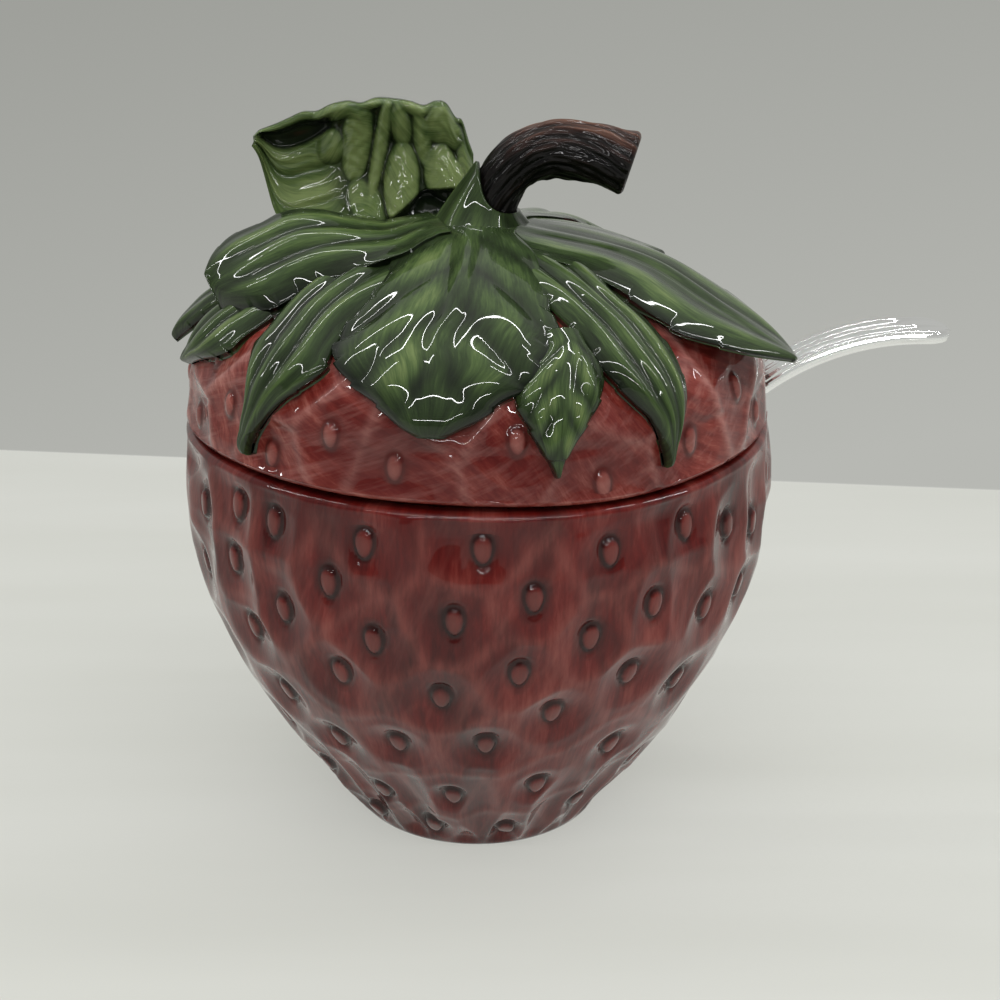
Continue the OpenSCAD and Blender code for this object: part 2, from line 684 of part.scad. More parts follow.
module spoon() {
  function bowl_part(u) = max(0, (u - spoon_l + bowl_l) / bowl_l);
  function spot(u, w, over) =
    let (
      bowl = sin(180 * min(1, bowl_part(u))) ^ 0.6,
      plain = min(1, u / end_round / 2) * max(0, 1 - 4 * bowl_part(u)),
      depth = bowl_d * bowl * (1 - w ^ 2),
      thick = bowl_part(u) > 0 ? max(bowl_t, handle_t - (handle_t - bowl_t) * 4 * bowl_part(u)) : handle_t,
      drop = over ? groove_d * plain * between(rib_shares, w) - thick / 2 : thick / 2,
      h = -depth - drop,
      a = spoon_turn(u),
      at = spoon_point(u) + h * [sin(a), cos(a)]
    )
    [at[0], -w * spoon_half_w(u), at[1]];
  function grid(over) = [
    for (i = [0:spoon_rows]) let (u = spoon_l * i / spoon_rows)
      [for (j = [0:spoon_columns]) spot(u, 2 * j / spoon_columns - 1, over)]
  ];
  color("lightcyan", 0.5) sheet(grid(true), grid(false));
}

pot();
lid();
crown();
stem();
front_leaf();
front_left_leaf();
front_bract();
front_right_leaf();
right_spur_leaf();
right_leaf();
back_right_leaf();
back_right_bract();
back_leaf();
back_left_bract();
back_left_leaf();
left_spur_leaf();
left_small_leaf();
left_broad_leaf();
raised_leaf();
spoon();
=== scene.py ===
import bpy
import math
import numpy as np
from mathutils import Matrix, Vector


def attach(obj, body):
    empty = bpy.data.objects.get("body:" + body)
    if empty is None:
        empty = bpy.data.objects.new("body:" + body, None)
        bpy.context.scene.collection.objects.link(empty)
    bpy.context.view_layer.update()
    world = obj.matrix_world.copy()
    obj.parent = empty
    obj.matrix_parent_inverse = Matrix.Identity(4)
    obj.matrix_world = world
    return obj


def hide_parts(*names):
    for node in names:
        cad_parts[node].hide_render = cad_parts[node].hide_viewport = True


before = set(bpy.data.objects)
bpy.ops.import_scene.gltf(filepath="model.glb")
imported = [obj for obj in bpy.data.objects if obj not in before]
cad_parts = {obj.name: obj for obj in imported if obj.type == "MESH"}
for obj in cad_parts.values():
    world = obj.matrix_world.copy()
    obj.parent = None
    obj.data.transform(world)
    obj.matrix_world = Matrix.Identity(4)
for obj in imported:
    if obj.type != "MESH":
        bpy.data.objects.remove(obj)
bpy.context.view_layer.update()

mm = 0.001
tau = 2 * math.pi


# Helpers

def linearOf(code):  # sRGB hex to the linear colour that a shader wants
    parts = [int(code[i:i + 2], 16) / 255 for i in (1, 3, 5)]
    return tuple(c / 12.92 if c <= 0.04045 else ((c + 0.055) / 1.055) ** 2.4 for c in parts) + (1.0,)


def addNode(tree, kind, sockets=None, stops=None, **settings):
    # Each socket gets a plain value, a node for its first output, or (node, output)
    made = tree.nodes.new("ShaderNode" + kind)
    for name, value in settings.items():
        setattr(made, name, value)
    for key, value in (sockets or {}).items():
        node, output = value if isinstance(value, tuple) and len(value) == 2 else (value, 0)
        if isinstance(node, bpy.types.Node):
            tree.links.new(node.outputs[output], made.inputs[key])
        else:
            made.inputs[key].default_value = value
    for k, (position, tone) in enumerate(stops or []):
        elements = made.color_ramp.elements
        element = elements[k] if k < len(elements) else elements.new(position)
        element.position = position
        element.color = linearOf(tone) if isinstance(tone, str) else (tone, tone, tone, 1)
    return made


def newMaterial(name):
    made = bpy.data.materials.new(name)
    made.use_nodes = True
    made.node_tree.nodes.clear()
    return made, made.node_tree


def finishMaterial(tree, shader):
    addNode(tree, "OutputMaterial", {"Surface": shader})


def smoothStep(low, high, value):
    part = np.clip((value - low) / (high - low), 0, 1)
    return part * part * (3 - 2 * part)


def roundOff(part):  # quarter circle: 0 at an edge, 1 where its rounding ends
    return np.sqrt(np.clip(1 - (1 - np.clip(part, 0, 1)) ** 2, 0, 1))


def bell(value, width):
    return np.exp(-(value / width) ** 2)


def arc(x, y, radius, degrees):
    return [(x + radius * math.cos(a), y + radius * math.sin(a)) for a in np.radians(degrees)]


def nearTurn(angle):  # the same direction, at most half a turn either way
    return (angle + math.pi) % tau - math.pi


def ringPlace(radius, turn, height):
    return np.stack(np.broadcast_arrays(radius * np.cos(turn), radius * np.sin(turn), height), -1)


def curveThrough(table, at, column):  # smooth curve through a table whose rows start with the way along
    x = np.array([row[0] for row in table], float)
    y = np.array([row[column] for row in table], float)
    slopes = np.gradient(y, x)
    at = np.clip(at, x[0], x[-1])
    k = np.clip(np.searchsorted(x, at, side="right") - 1, 0, len(x) - 2)
    gap = x[k + 1] - x[k]
    t = (at - x[k]) / gap
    return ((2 * t ** 3 - 3 * t ** 2 + 1) * y[k] + (t ** 3 - 2 * t ** 2 + t) * gap * slopes[k]
            + (3 * t ** 2 - 2 * t ** 3) * y[k + 1] + (t ** 3 - t ** 2) * gap * slopes[k + 1])


def gridFaces(rows, columns, wrap=False, start=0):
    i, j = np.meshgrid(np.arange(rows - 1), np.arange(columns if wrap else columns - 1), indexing="ij")
    k = (j + 1) % columns
    quads = np.stack([i * columns + j, i * columns + k, (i + 1) * columns + k, (i + 1) * columns + j], -1)
    return (quads.reshape(-1, 4) + start).tolist()


def tube(rows, columns):  # faces of a turned body with both ends closed
    ends = [tuple(range(columns))[::-1], tuple(range((rows - 1) * columns, rows * columns))]
    return gridFaces(rows, columns, True) + ends


def flipped(faces):
    return [face[::-1] for face in faces]


def sheet(top, low):  # closes two grids of points into one body: places and faces
    n, m = top.shape[:2]
    index = np.arange(n * m).reshape(n, m)
    border = np.concatenate([index[:, 0], index[-1, 1:], index[::-1, -1][1:], index[0, ::-1][1:-1]]).tolist()
    wall = [(border[k] + n * m, border[k - 1] + n * m, border[k - 1], border[k]) for k in range(len(border))]
    faces = flipped(gridFaces(n, m)) + gridFaces(n, m, start=n * m) + wall
    return np.concatenate([top.reshape(-1, 3), low.reshape(-1, 3)]), faces


def newMesh(name, points, faces, material):  # points in mm
    mesh = bpy.data.meshes.new(name)
    mesh.from_pydata((np.asarray(points, float) * mm).tolist(), [], faces)
    mesh.materials.append(material)
    return mesh


def addObject(name, data):
    made = bpy.data.objects.new(name, data)
    bpy.context.collection.objects.link(made)
    return made


def makePiece(name, points, faces, material, body, stands=(), marks=None):
    mesh = newMesh(name, points, faces, material)
    for mark, values in (marks or {}).items():
        values = np.asarray(values, np.float32)
        kind, field = ("FLOAT", "value") if values.ndim == 1 else ("FLOAT_VECTOR", "vector")
        mesh.attributes.new(mark, kind, "POINT").data.foreach_set(field, values.ravel())
    mesh.validate()
    mesh.shade_smooth()
    piece = addObject(name, mesh)
    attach(piece, body)
    if stands:
        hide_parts(*stands)
    return piece


# Floor, backdrop, camera and light

stageSizes = {
    "floorHalf": 4000,       # mm
    # The fold where the wall meets the floor: mm behind the pot's middle at foldHalf to its left and right
    "foldLeft": 181.2, "foldRight": 149.4, "foldHalf": 137.0,
    "foldLine": 0.9, "foldStops": [(0.0, 1.0), (1.0, 0.0)], "foldHex": "#c9cac5",  # pale line along the fold
    "floorStops": [(0.3, "#d0d1ca"), (0.7, "#d6d7d1")],
    "floorGlow": 0.62,       # share of the floor that glows for camera, glossy and transmission rays, painted light that evens out the pot's shadow
    "creaseScale": (1.2, 9, 1), "creaseFineness": 3.0,
    # The painted wall darkens upward and to the left, as seen from the front, as painted shade: where the eye is
    # in m, share of the slope
    "wallStops": [(0.05, "#9fa09b"), (0.4, "#b7b8b3")],
    "eyeBack": 0.285, "eyeHeight": 0.1657, "wallSlope": 0.18,
}


def makeFloorMaterial(s):
    # Matt white studio card: no gloss, faint creases. Past the fold the flat card glows grey as a painted wall,
    # darkening upward and to the left as painted shade.
    material, tree = newMaterial("matt studio card")
    place = addNode(tree, "TexCoord")
    parts = addNode(tree, "SeparateXYZ", {0: (place, "Object")})
    slope = (s["foldRight"] - s["foldLeft"]) / (2 * s["foldHalf"])
    tilted = addNode(tree, "Math", {0: (parts, "X"), 1: -slope, 2: (parts, "Y")}, operation="MULTIPLY_ADD")
    middle = (s["foldRight"] + s["foldLeft"]) / 2 * mm
    wall = addNode(tree, "Math", {0: tilted, 1: middle}, operation="GREATER_THAN")
    away = addNode(tree, "Math", {0: (parts, "Y"), 1: s["eyeBack"]}, operation="ADD")
    far = addNode(tree, "Math", {0: s["eyeHeight"], 1: away}, operation="DIVIDE")
    across = addNode(tree, "Math", {0: (parts, "X"), 1: away}, operation="DIVIDE")
    side = addNode(tree, "Math", {0: across, 1: s["wallSlope"], 2: far}, operation="MULTIPLY_ADD")
    wallTone = addNode(tree, "ValToRGB", {0: side}, s["wallStops"])
    past = addNode(tree, "Math", {0: tilted, 1: middle}, operation="SUBTRACT")
    width = addNode(tree, "Math", {0: past, 1: s["foldLine"] * mm}, operation="DIVIDE")
    line = addNode(tree, "Math", {0: width}, operation="ABSOLUTE")
    lineTone = addNode(tree, "ValToRGB", {0: line}, s["foldStops"])
    edged = addNode(tree, "Mix", {0: lineTone, 6: wallTone, 7: linearOf(s["foldHex"])}, data_type="RGBA")
    laid = addNode(tree, "Mapping", {"Vector": (place, "Object"), "Scale": s["creaseScale"]})
    creases = addNode(tree, "TexNoise", {"Vector": laid, "Scale": s["creaseFineness"], "Detail": 3.0})
    cardTone = addNode(tree, "ValToRGB", {0: creases}, s["floorStops"])
    card = addNode(tree, "BsdfDiffuse", {"Color": cardTone})
    shown = addNode(tree, "Mix", {0: wall, 6: cardTone, 7: (edged, 2)}, data_type="RGBA")
    # The glow is painted light: past the fold it makes the whole wall, on the floor it lifts the shadow
    glow = addNode(tree, "Emission", {"Color": (shown, 2), "Strength": 1.0})
    even = addNode(tree, "Math", {0: wall, 1: s["floorGlow"]}, operation="MAXIMUM")
    path = addNode(tree, "LightPath")
    seen = (path, "Is Camera Ray")
    for ray in ("Is Glossy Ray", "Is Transmission Ray"):
        seen = addNode(tree, "Math", {0: seen, 1: (path, ray)}, operation="MAXIMUM")
    share = addNode(tree, "Math", {0: seen, 1: even}, operation="MULTIPLY")
    finishMaterial(tree, addNode(tree, "MixShader", {0: share, 1: card, 2: glow}))
    return material


def makeStage(s):
    half = s["floorHalf"]
    corners = [(-half, -half, 0), (half, -half, 0), (half, half, 0), (-half, half, 0)]
    addObject("studioFloor", newMesh("studioFloor", corners, [(0, 1, 2, 3)], makeFloorMaterial(s)))


cameraSizes = {
    "distance": 300, "elevation": 18.2, "aimHeight": 72,  # mm and degrees
    "lens": 62.86, "sensor": 36, "shiftX": 0.023, "shiftY": -0.0917,
}


def makeCamera(s):
    lens = bpy.data.cameras.new("studioCamera")
    lens.lens = s["lens"]
    lens.sensor_width = s["sensor"]
    lens.shift_x, lens.shift_y = s["shiftX"], s["shiftY"]
    lens.clip_start, lens.clip_end = 0.01, 20
    camera = addObject("studioCamera", lens)
    lean = math.radians(s["elevation"])
    back = Vector((0, -math.cos(lean), math.sin(lean)))
    camera.location = Vector((0, 0, s["aimHeight"] * mm)) + back * s["distance"] * mm
    camera.rotation_euler = (-back).to_track_quat("-Z", "Y").to_euler()
    bpy.context.scene.camera = camera


lightSizes = {
    # White light tent with an open, darker front
    "tentStops": [(0.0, "#565755"), (0.24, "#9a9b98"), (0.42, "#c6c7c3"), (1.0, "#d2d3cf")],
    "tentStrength": 0.72, "roofStrength": 0.7, "roofSpread": 80, "roofTurn": (24, 10, 0),
    # LED strips round the top of the tent: place, length, width in mm, watts, whether it runs along Y
    "stripAim": (0, 0, 70),
    "strips": [
        ((0, -225, 300), 420, 4.5, 0.36, False), ((0, 60, 360), 420, 4.5, 0.3, False),
        ((0, -335, 205), 300, 3, 0.25, False),
        ((-230, -30, 330), 300, 4.5, 0.22, True), ((230, -30, 330), 300, 4.5, 0.32, True),
    ],
}


def makeLights(s):
    world = bpy.data.worlds.new("studioWorld")
    world.use_nodes = True
    tree = world.node_tree
    place = addNode(tree, "TexCoord")
    parts = addNode(tree, "SeparateXYZ", {0: (place, "Generated")})
    part = addNode(tree, "Math", {0: (parts, "Y"), 1: 0.5, 2: 0.5}, operation="MULTIPLY_ADD")
    tone = addNode(tree, "ValToRGB", {0: part}, s["tentStops"])
    tree.links.new(tone.outputs[0], tree.nodes["Background"].inputs["Color"])
    tree.nodes["Background"].inputs["Strength"].default_value = s["tentStrength"]
    bpy.context.scene.world = world
    sun = bpy.data.lights.new("tentRoof", "SUN")
    sun.energy, sun.angle = s["roofStrength"], math.radians(s["roofSpread"])
    lamp = addObject("tentRoof", sun)
    lamp.rotation_euler = [math.radians(a) for a in s["roofTurn"]]
    lamp.visible_glossy = False
    for k, (place, length, width, watts, turned) in enumerate(s["strips"]):
        strip = bpy.data.lights.new(f"ledStrip{k}", "AREA")
        strip.shape, strip.size, strip.size_y = "RECTANGLE", length * mm, width * mm
        strip.energy = watts
        lamp = addObject(f"ledStrip{k}", strip)
        lamp.location = Vector(place) * mm
        aim = Vector(s["stripAim"]) * mm - lamp.location
        lamp.rotation_euler = aim.to_track_quat("-Z", "X" if turned else "Y").to_euler()


makeStage(stageSizes)
makeCamera(cameraSizes)
makeLights(lightSizes)
bpy.context.scene.view_settings.view_transform = "Standard"
print("stage, camera and lights made")


# Glazes

def addStreaks(tree, scale, detail=4.0, rough=0.6, mark="brush"):
    # Noise drawn out along a brush stroke. The mark holds mm across and along it, so a scale is 1 / mm.
    place = addNode(tree, "Attribute", attribute_name=mark, attribute_type="GEOMETRY")
    laid = addNode(tree, "Mapping", {"Vector": (place, "Vector"), "Scale": scale})
    return addNode(tree, "TexNoise", {"Vector": laid, "Scale": 1.0, "Detail": detail, "Roughness": rough})


def addGlaze(tree, colour, strokes, depth, s):
    # Lead-free clear glaze over underglaze paint: a sharp wet coat above a softer painted body.
    ground = addNode(tree, "Bump", {"Strength": 1.0, "Distance": depth * mm, "Height": strokes})
    return addNode(tree, "BsdfPrincipled", {
        "Base Color": colour, "Normal": ground,
        "Roughness": s["bodyRough"], "Specular IOR Level": s["bodyShine"],
        "Coat Weight": s["coat"], "Coat Roughness": s["coatRough"], "Coat IOR": s["coatIndex"]})


def makeBerryGlaze(name, s):
    # Brushed red underglaze under a clear gloss: darker where it pools, paler where it breaks over ridges, and
    # darkened near the seam between lid and pot as painted shade.
    material, tree = newMaterial(name)
    # Strokes 9, 2 and 0.4 mm wide. Real bristle marks are about 0.2 mm: these are as coarse as shows.
    run = s["strokeRun"]
    broad = addStreaks(tree, (0.11, 0.11, 0.045), 3.0)
    fine = addStreaks(tree, (0.55, 0.55, run), 4.0, 0.66)
    hair = addStreaks(tree, (2.4, 2.4, 4 * run), 2.0)
    cross = addStreaks(tree, (0.26, 0.26, 0.75 * run), 3.0, 0.65, "cross")
    level = broad
    for streaks, share in ((fine, s["fineShare"]), (hair, s["hairShare"])):
        level = addNode(tree, "Math", {0: streaks, 1: share, 2: level}, operation="MULTIPLY_ADD")
    whole = 1 + s["fineShare"] + s["hairShare"]
    level = addNode(tree, "Math", {0: level, 1: whole}, operation="DIVIDE")
    base = addNode(tree, "ValToRGB", {0: level}, s["stops"])
    dry = addNode(tree, "ValToRGB", {0: cross}, [(0.48, 0.0), (0.7, s["dryShare"])])
    ridge, deep, seed = [addNode(tree, "Attribute", attribute_name=mark, attribute_type="GEOMETRY")
                         for mark in ("ridge", "deep", "seedPlace")]
    patch = addNode(tree, "MapRange", {0: fine, 1: 0.35, 2: 0.65, 3: 0.3 * s["ridgeShare"], 4: s["ridgeShare"]})
    broken = addNode(tree, "Math", {0: (ridge, "Fac"), 1: patch}, operation="MULTIPLY")
    # Seeds: the mark holds mm across, down and away from the nearest seed, so the ring stays sharp
    parts = addNode(tree, "SeparateXYZ", {0: (seed, "Vector")})
    half, slant = s["seedHalfWidth"], -s["seedTaper"] * s["seedHalfWidth"]
    taper = addNode(tree, "Math", {0: (parts, "Y"), 1: slant, 2: half}, operation="MULTIPLY_ADD")
    across = addNode(tree, "Math", {0: (parts, "X"), 1: taper}, operation="DIVIDE")
    along = addNode(tree, "Math", {0: (parts, "Y"), 1: s["seedHalfLength"]}, operation="DIVIDE")
    flat = addNode(tree, "CombineXYZ", {0: across, 1: along})
    out = addNode(tree, "VectorMath", {0: flat}, operation="LENGTH")
    part = addNode(tree, "Math", {0: (out, "Value"), 1: 0.4}, operation="MULTIPLY")
    near = addNode(tree, "Math", {0: (parts, "Z"), 1: s["seedReach"]}, operation="LESS_THAN")
    # Stops by the way out from a seed's middle: 0.4 is its edge
    ring = [(0.28, 0.0), (0.37, 0.9), (0.45, 0.8), (0.54, 0.3), (0.8, 0.0)]
    bead = [(0.0, s["seedShare"]), (0.2, 0.8 * s["seedShare"]), (0.35, 0.0)]
    shares = []
    for stops in (ring, bead):
        ramp = addNode(tree, "ValToRGB", {0: part}, stops)
        shares.append(addNode(tree, "Math", {0: ramp, 1: near}, operation="MULTIPLY"))
    layers = [
        (dry, "ridgeHex"),           # thin pale strokes where the brush ran dry, the other way
        (broken, "ridgeHex"),        # the glaze breaks pale over the ridges, unevenly
        ((deep, "Fac"), "shadeAndPoolHex"),  # painted shade near the seam between lid and pot
        (shares[0], "poolHex"),      # dark ring round each seed
        (shares[1], "seedHex"),
    ]
    tone = base
    for share, colour in layers:
        tone = (addNode(tree, "Mix", {0: share, 6: tone, 7: linearOf(s[colour])}, data_type="RGBA"), 2)
    strokes = addNode(tree, "Math", {0: hair, 1: 0.5, 2: fine}, operation="MULTIPLY_ADD")
    finishMaterial(tree, addGlaze(tree, tone, strokes, s["strokeDepth"], s))
    return material


def makeLeafGlaze(name, s):
    # Brushed green underglaze under a clear gloss: paler yellow-green on the crests as painted light, near black
    # in the creases as painted shade where glaze also pools.
    material, tree = newMaterial(name)
    # Strokes 8, 0.7 and 0.25 mm wide that run along the leaf
    broad = addStreaks(tree, (0.13, 0.05, 0.1), 3.0)
    fine = addStreaks(tree, (1.5, 0.13, 0.3), 4.0, 0.62)
    hair = addStreaks(tree, (4.2, 0.3, 1.0), 2.0)
    crest, deep = [addNode(tree, "Attribute", attribute_name=mark, attribute_type="GEOMETRY")
                   for mark in ("crest", "deep")]
    level, whole = broad, 1
    for source, share in ((fine, s["fineShare"]), (hair, s["hairShare"]), ((crest, "Fac"), s["toneAndLightShare"])):
        level = addNode(tree, "Math", {0: source, 1: share, 2: level}, operation="MULTIPLY_ADD")
        whole += share
    level = addNode(tree, "Math", {0: level, 1: whole}, operation="DIVIDE")
    tone = addNode(tree, "ValToRGB", {0: level}, s["stops"])
    tone = addNode(tree, "Mix", {0: (deep, "Fac"), 6: tone, 7: linearOf(s["shadeAndPoolHex"])}, data_type="RGBA")
    strokes = addNode(tree, "Math", {0: hair, 1: 0.5, 2: fine}, operation="MULTIPLY_ADD")
    finishMaterial(tree, addGlaze(tree, (tone, 2), strokes, s["strokeDepth"], s))
    return material


def makeBarkGlaze(name, s):
    # Iron-brown underglaze under gloss: near black in the bark's grooves, where glaze pools and shade is
    # painted, rust on its ridges, and paler on its upper side as painted light from above.
    material, tree = newMaterial(name)
    fine = addStreaks(tree, (0.9, 0.9, 0.12), 4.0, 0.7)
    crest = addNode(tree, "Attribute", attribute_name="crest", attribute_type="GEOMETRY")
    lit = addNode(tree, "Math", {0: fine, 1: s["fineShare"], 2: (crest, "Fac")}, operation="MULTIPLY_ADD")
    level = addNode(tree, "Math", {0: lit, 1: 1 + s["fineShare"]}, operation="DIVIDE")
    tone = addNode(tree, "ValToRGB", {0: level}, s["stops"])
    finishMaterial(tree, addGlaze(tree, tone, fine, s["strokeDepth"], s))
    return material


def makeAcrylic(name, s):
    # Moulded clear acrylic (PMMA): glass-clear, with a faint ripple from the mould and polished ribs.
    material, tree = newMaterial(name)
    place = addNode(tree, "TexCoord")
    haze = addNode(tree, "TexNoise", {
        "Vector": (place, "Object"), "Scale": 1 / (s["rippleSize"] * mm), "Detail": 2.0})
    bump = addNode(tree, "Bump", {"Strength": 0.15, "Distance": s["rippleDepth"] * mm, "Height": haze})
    rough = addNode(tree, "ValToRGB", {0: haze}, s["roughStops"])
    finishMaterial(tree, addNode(tree, "BsdfPrincipled", {
        "Base Color": linearOf(s["hex"]), "Roughness": rough, "IOR": s["index"],
        "Transmission Weight": 1.0, "Normal": bump}))
    return material


glazeGloss = {"bodyRough": 0.5, "bodyShine": 0.08, "coat": 1.0, "coatRough": 0.03, "coatIndex": 1.38}
berryBrush = {"fineShare": 0.8, "hairShare": 0.22, "strokeDepth": 0.05, "seedTaper": 0.06, "seedReach": 4.2}
potGlaze = makeBerryGlaze("berry red brushed glaze", {
    "stops": [(0.34, "#330504"), (0.46, "#4b0c0a"), (0.54, "#5c130f"), (0.66, "#78322b")],
    "ridgeHex": "#884d45", "shadeAndPoolHex": "#3c0b0b", "poolHex": "#1c0606", "seedHex": "#733f39",
    "ridgeShare": 0.4, "dryShare": 0.25, "strokeRun": 0.1,
    "seedShare": 0.5, "seedHalfWidth": 1.6, "seedHalfLength": 2.5, **berryBrush, **glazeGloss})
lidGlaze = makeBerryGlaze("rose red brushed glaze", {
    "stops": [(0.34, "#480f0c"), (0.46, "#641f1a"), (0.54, "#7a332b"), (0.66, "#a46459")],
    "ridgeHex": "#ab7a72", "shadeAndPoolHex": "#470e0d", "poolHex": "#441512", "seedHex": "#9a645c",
    "ridgeShare": 0.6, "dryShare": 0.34, "strokeRun": 0.2,
    "seedShare": 0.42, "seedHalfWidth": 1.4, "seedHalfLength": 2.3, **berryBrush, **glazeGloss})
leafGlaze = makeLeafGlaze("leaf green brushed glaze", {
    "stops": [(0.36, "#18210f"), (0.47, "#2a391d"), (0.56, "#41532c"), (0.7, "#697848")], "shadeAndPoolHex": "#0a1207",
    "fineShare": 0.75, "hairShare": 0.45, "toneAndLightShare": 0.5, "strokeDepth": 0.1, **glazeGloss})
barkGlaze = makeBarkGlaze("bark brown brushed glaze", {
    "stops": [(0.25, "#030202"), (0.5, "#0a0504"), (0.68, "#2b1711"), (0.85, "#5c4034")],
    "fineShare": 0.5, "strokeDepth": 0.3, **glazeGloss, "coat": 0.5})
clearAcrylic = makeAcrylic("clear moulded acrylic", {
    "hex": "#fbfdfd", "index": 1.49, "rippleSize": 6.25, "rippleDepth": 0.3,
    "roughStops": [(0.3, 0.02), (0.7, 0.06)]})
print("materials made")


# Relief that the pot and the lid share

berryRelief = {
    "seedTaper": 0.06, "beadReach": 4, "grooveReach": 4.5, "grooveAt": 1.12, "grooveWidth": 0.2,
    # mm: height of the wavy seam's reach, where the strokes are laid, a distance past any seed's ring
    "seamReach": 16, "strokeRadius": 50, "farOff": 9,
}


def seedRelief(place, turnWay, downWay, seeds, s):
    # place, turnWay and downWay: one row for each vertex. seeds: rows of [place, share of full size].
    first = np.full(len(place), 1e3)
    second = np.full(len(place), 1e3)
    nearest = np.zeros((len(place), 3))
    hollow = np.zeros(len(place))
    for centre, share in seeds:
        away = place - centre
        across, down = (away * turnWay).sum(1), (away * downWay).sum(1)
        reach = np.sqrt((away ** 2).sum(1))
        closer = reach < first
        second = np.where(closer, first, np.minimum(second, reach))
        first = np.where(closer, reach, first)
        nearest[closer] = np.stack([across, down, reach], 1)[closer]
        dip = 1 - (across / (s["hollowWidth"] * share)) ** 2 - (down / (s["hollowLength"] * share)) ** 2
        hollow = np.maximum(hollow, np.clip(dip, 0, 1) ** s["hollowPower"] * share)
    ridge = bell(second - first, s["ridgeWidth"])
    halfWidth = s["seedHalfWidth"] * (1 - s["seedTaper"] * nearest[:, 1])
    out = np.hypot(nearest[:, 0] / halfWidth, nearest[:, 1] / s["seedHalfLength"])
    bead = np.where(first < s["beadReach"], roundOff(1 - out), 0)
    groove = np.where(first < s["grooveReach"], bell(out - s["grooveAt"], s["grooveWidth"]), 0)
    height = (s["seedRise"] * bead + s["ridgeRise"] * ridge
              - s["hollowDepth"] * hollow - s["grooveDepth"] * groove)
    return height, ridge, nearest


def seededSkin(skin, along, seeds, s):
    # Turns a skin with seeds on it. For each vertex: place, facing, turn, way along and the seeds' relief.
    turn = np.tile(np.arange(s["columns"]) * tau / s["columns"], len(along))
    point, normal = [np.repeat(rows, s["columns"], 0).T for rows in skin(along)]
    place, facing = ringPlace(point[0], turn, point[1]), ringPlace(normal[0], turn, normal[1])
    sideways = np.stack([-np.sin(turn), np.cos(turn), 0 * turn], 1)
    downward = ringPlace(normal[1], turn, -normal[0])
    centres = []
    for angle, length in seeds:
        (radius, height), _ = skin(length)
        share = max(s["leastShare"], min(1, radius / s["fullRadius"]))
        centres.append((ringPlace(radius, math.radians(angle), height), share))
    way = np.repeat(along, s["columns"])
    return place, facing, turn, way, *seedRelief(place, sideways, downward, centres, s)


def ripple(turn, along, size):  # the slow unevenness of a hand-finished slip casting, in mm
    return size * (0.5 * np.sin(3 * turn + 0.05 * along + 0.7) + 0.35 * np.sin(5 * turn - 0.09 * along + 2.1)
                   + 0.3 * np.sin(0.16 * along + 2 * turn))


def turned(profile, columns):  # revolves rows of [radius, height]
    radius, height = np.array(profile, float).T[:, :, None]
    return ringPlace(radius, np.arange(columns) * tau / columns, height)


def edgeWave(turn):  # the seam between lid and pot isn't quite level
    return 0.32 * np.sin(turn * 2 + 0.5) + 0.22 * np.sin(turn * 3 + 2.2) + 0.12 * np.sin(turn * 7)


def seamGap(turn):  # the lid stands a little higher off the rim at the front
    return 0.45 * bell(nearTurn(turn + 1.75), 0.5)


def makeTurned(name, rows, before, glaze, body, stands, strokes, marks, s):
    # Rings of places from end to end. The marks belong to the seeded skin, which starts after so many vertices.
    whole = dict(strokes)
    for mark, values in marks.items():
        blank = s["farOff"] if mark == "seedPlace" else 0
        whole[mark] = np.full((rows.shape[0] * rows.shape[1],) + values.shape[1:], blank, float)
        whole[mark][before:before + len(values)] = values
    faces = flipped(tube(*rows.shape[:2]))
    return makePiece(name, rows.reshape(-1, 3), faces, glaze, body, stands, whole)


# Pot

potSizes = {
    "height": 72, "baseRadius": 22, "rimRadius": 49.2, "bellyHeight": 61, "bellyArc": 57, "toeArc": 182,
    "wall": 4.2, "floor": 5, "rimRound": 1.2, "rowStep": 0.5, "columns": 620,
    "hollowWidth": 6.6, "hollowLength": 7.4, "hollowPower": 1.5, "hollowDepth": 1.35, "ridgeWidth": 2.2,
    "ridgeRise": 0.12, "seedHalfWidth": 1.6, "seedHalfLength": 2.5, "seedRise": 0.75, "grooveDepth": 0.4,
    "ripple": 0.35, "leastShare": 0.62, "fullRadius": 46, **berryRelief,
    # Seeds of one half: turn in degrees and length down from the rim. The other half repeats them.
    "seeds": [
        (-153, 9), (-139, 5.6), (-129, 6), (-110, 6), (-89, 5.6), (-66, 7.5), (-49, 6.5), (-36, 10), (-12, 8),
        (-171, 14), (-141, 15), (-117, 13.3), (-94, 17.8), (-80, 14), (-56, 18.4), (-24, 13), (-158, 21),
        (-128, 20.3), (-109, 22.4), (-69, 22.2), (-41, 23.2), (-26, 24), (-8, 20), (-173, 28), (-139, 27),
        (-117, 30), (-97, 33), (-82, 28), (-58.5, 31.7), (-15, 34), (-156, 35), (-137, 40.5), (-74, 38),
        (-41, 38.5), (-1, 43), (-171, 43), (-126, 49), (-108.5, 46), (-88, 45.2), (-54, 50.9), (-24, 48),
        (-150, 51), (-97, 61), (-73, 58.2), (-121, 63.5), (-36, 60), (-8, 57), (-146, 63), (-172, 57),
        (-54, 67.2), (-107, 73.6), (-79, 73.9), (-134, 74), (-20, 70), (-160, 71),
    ],
}


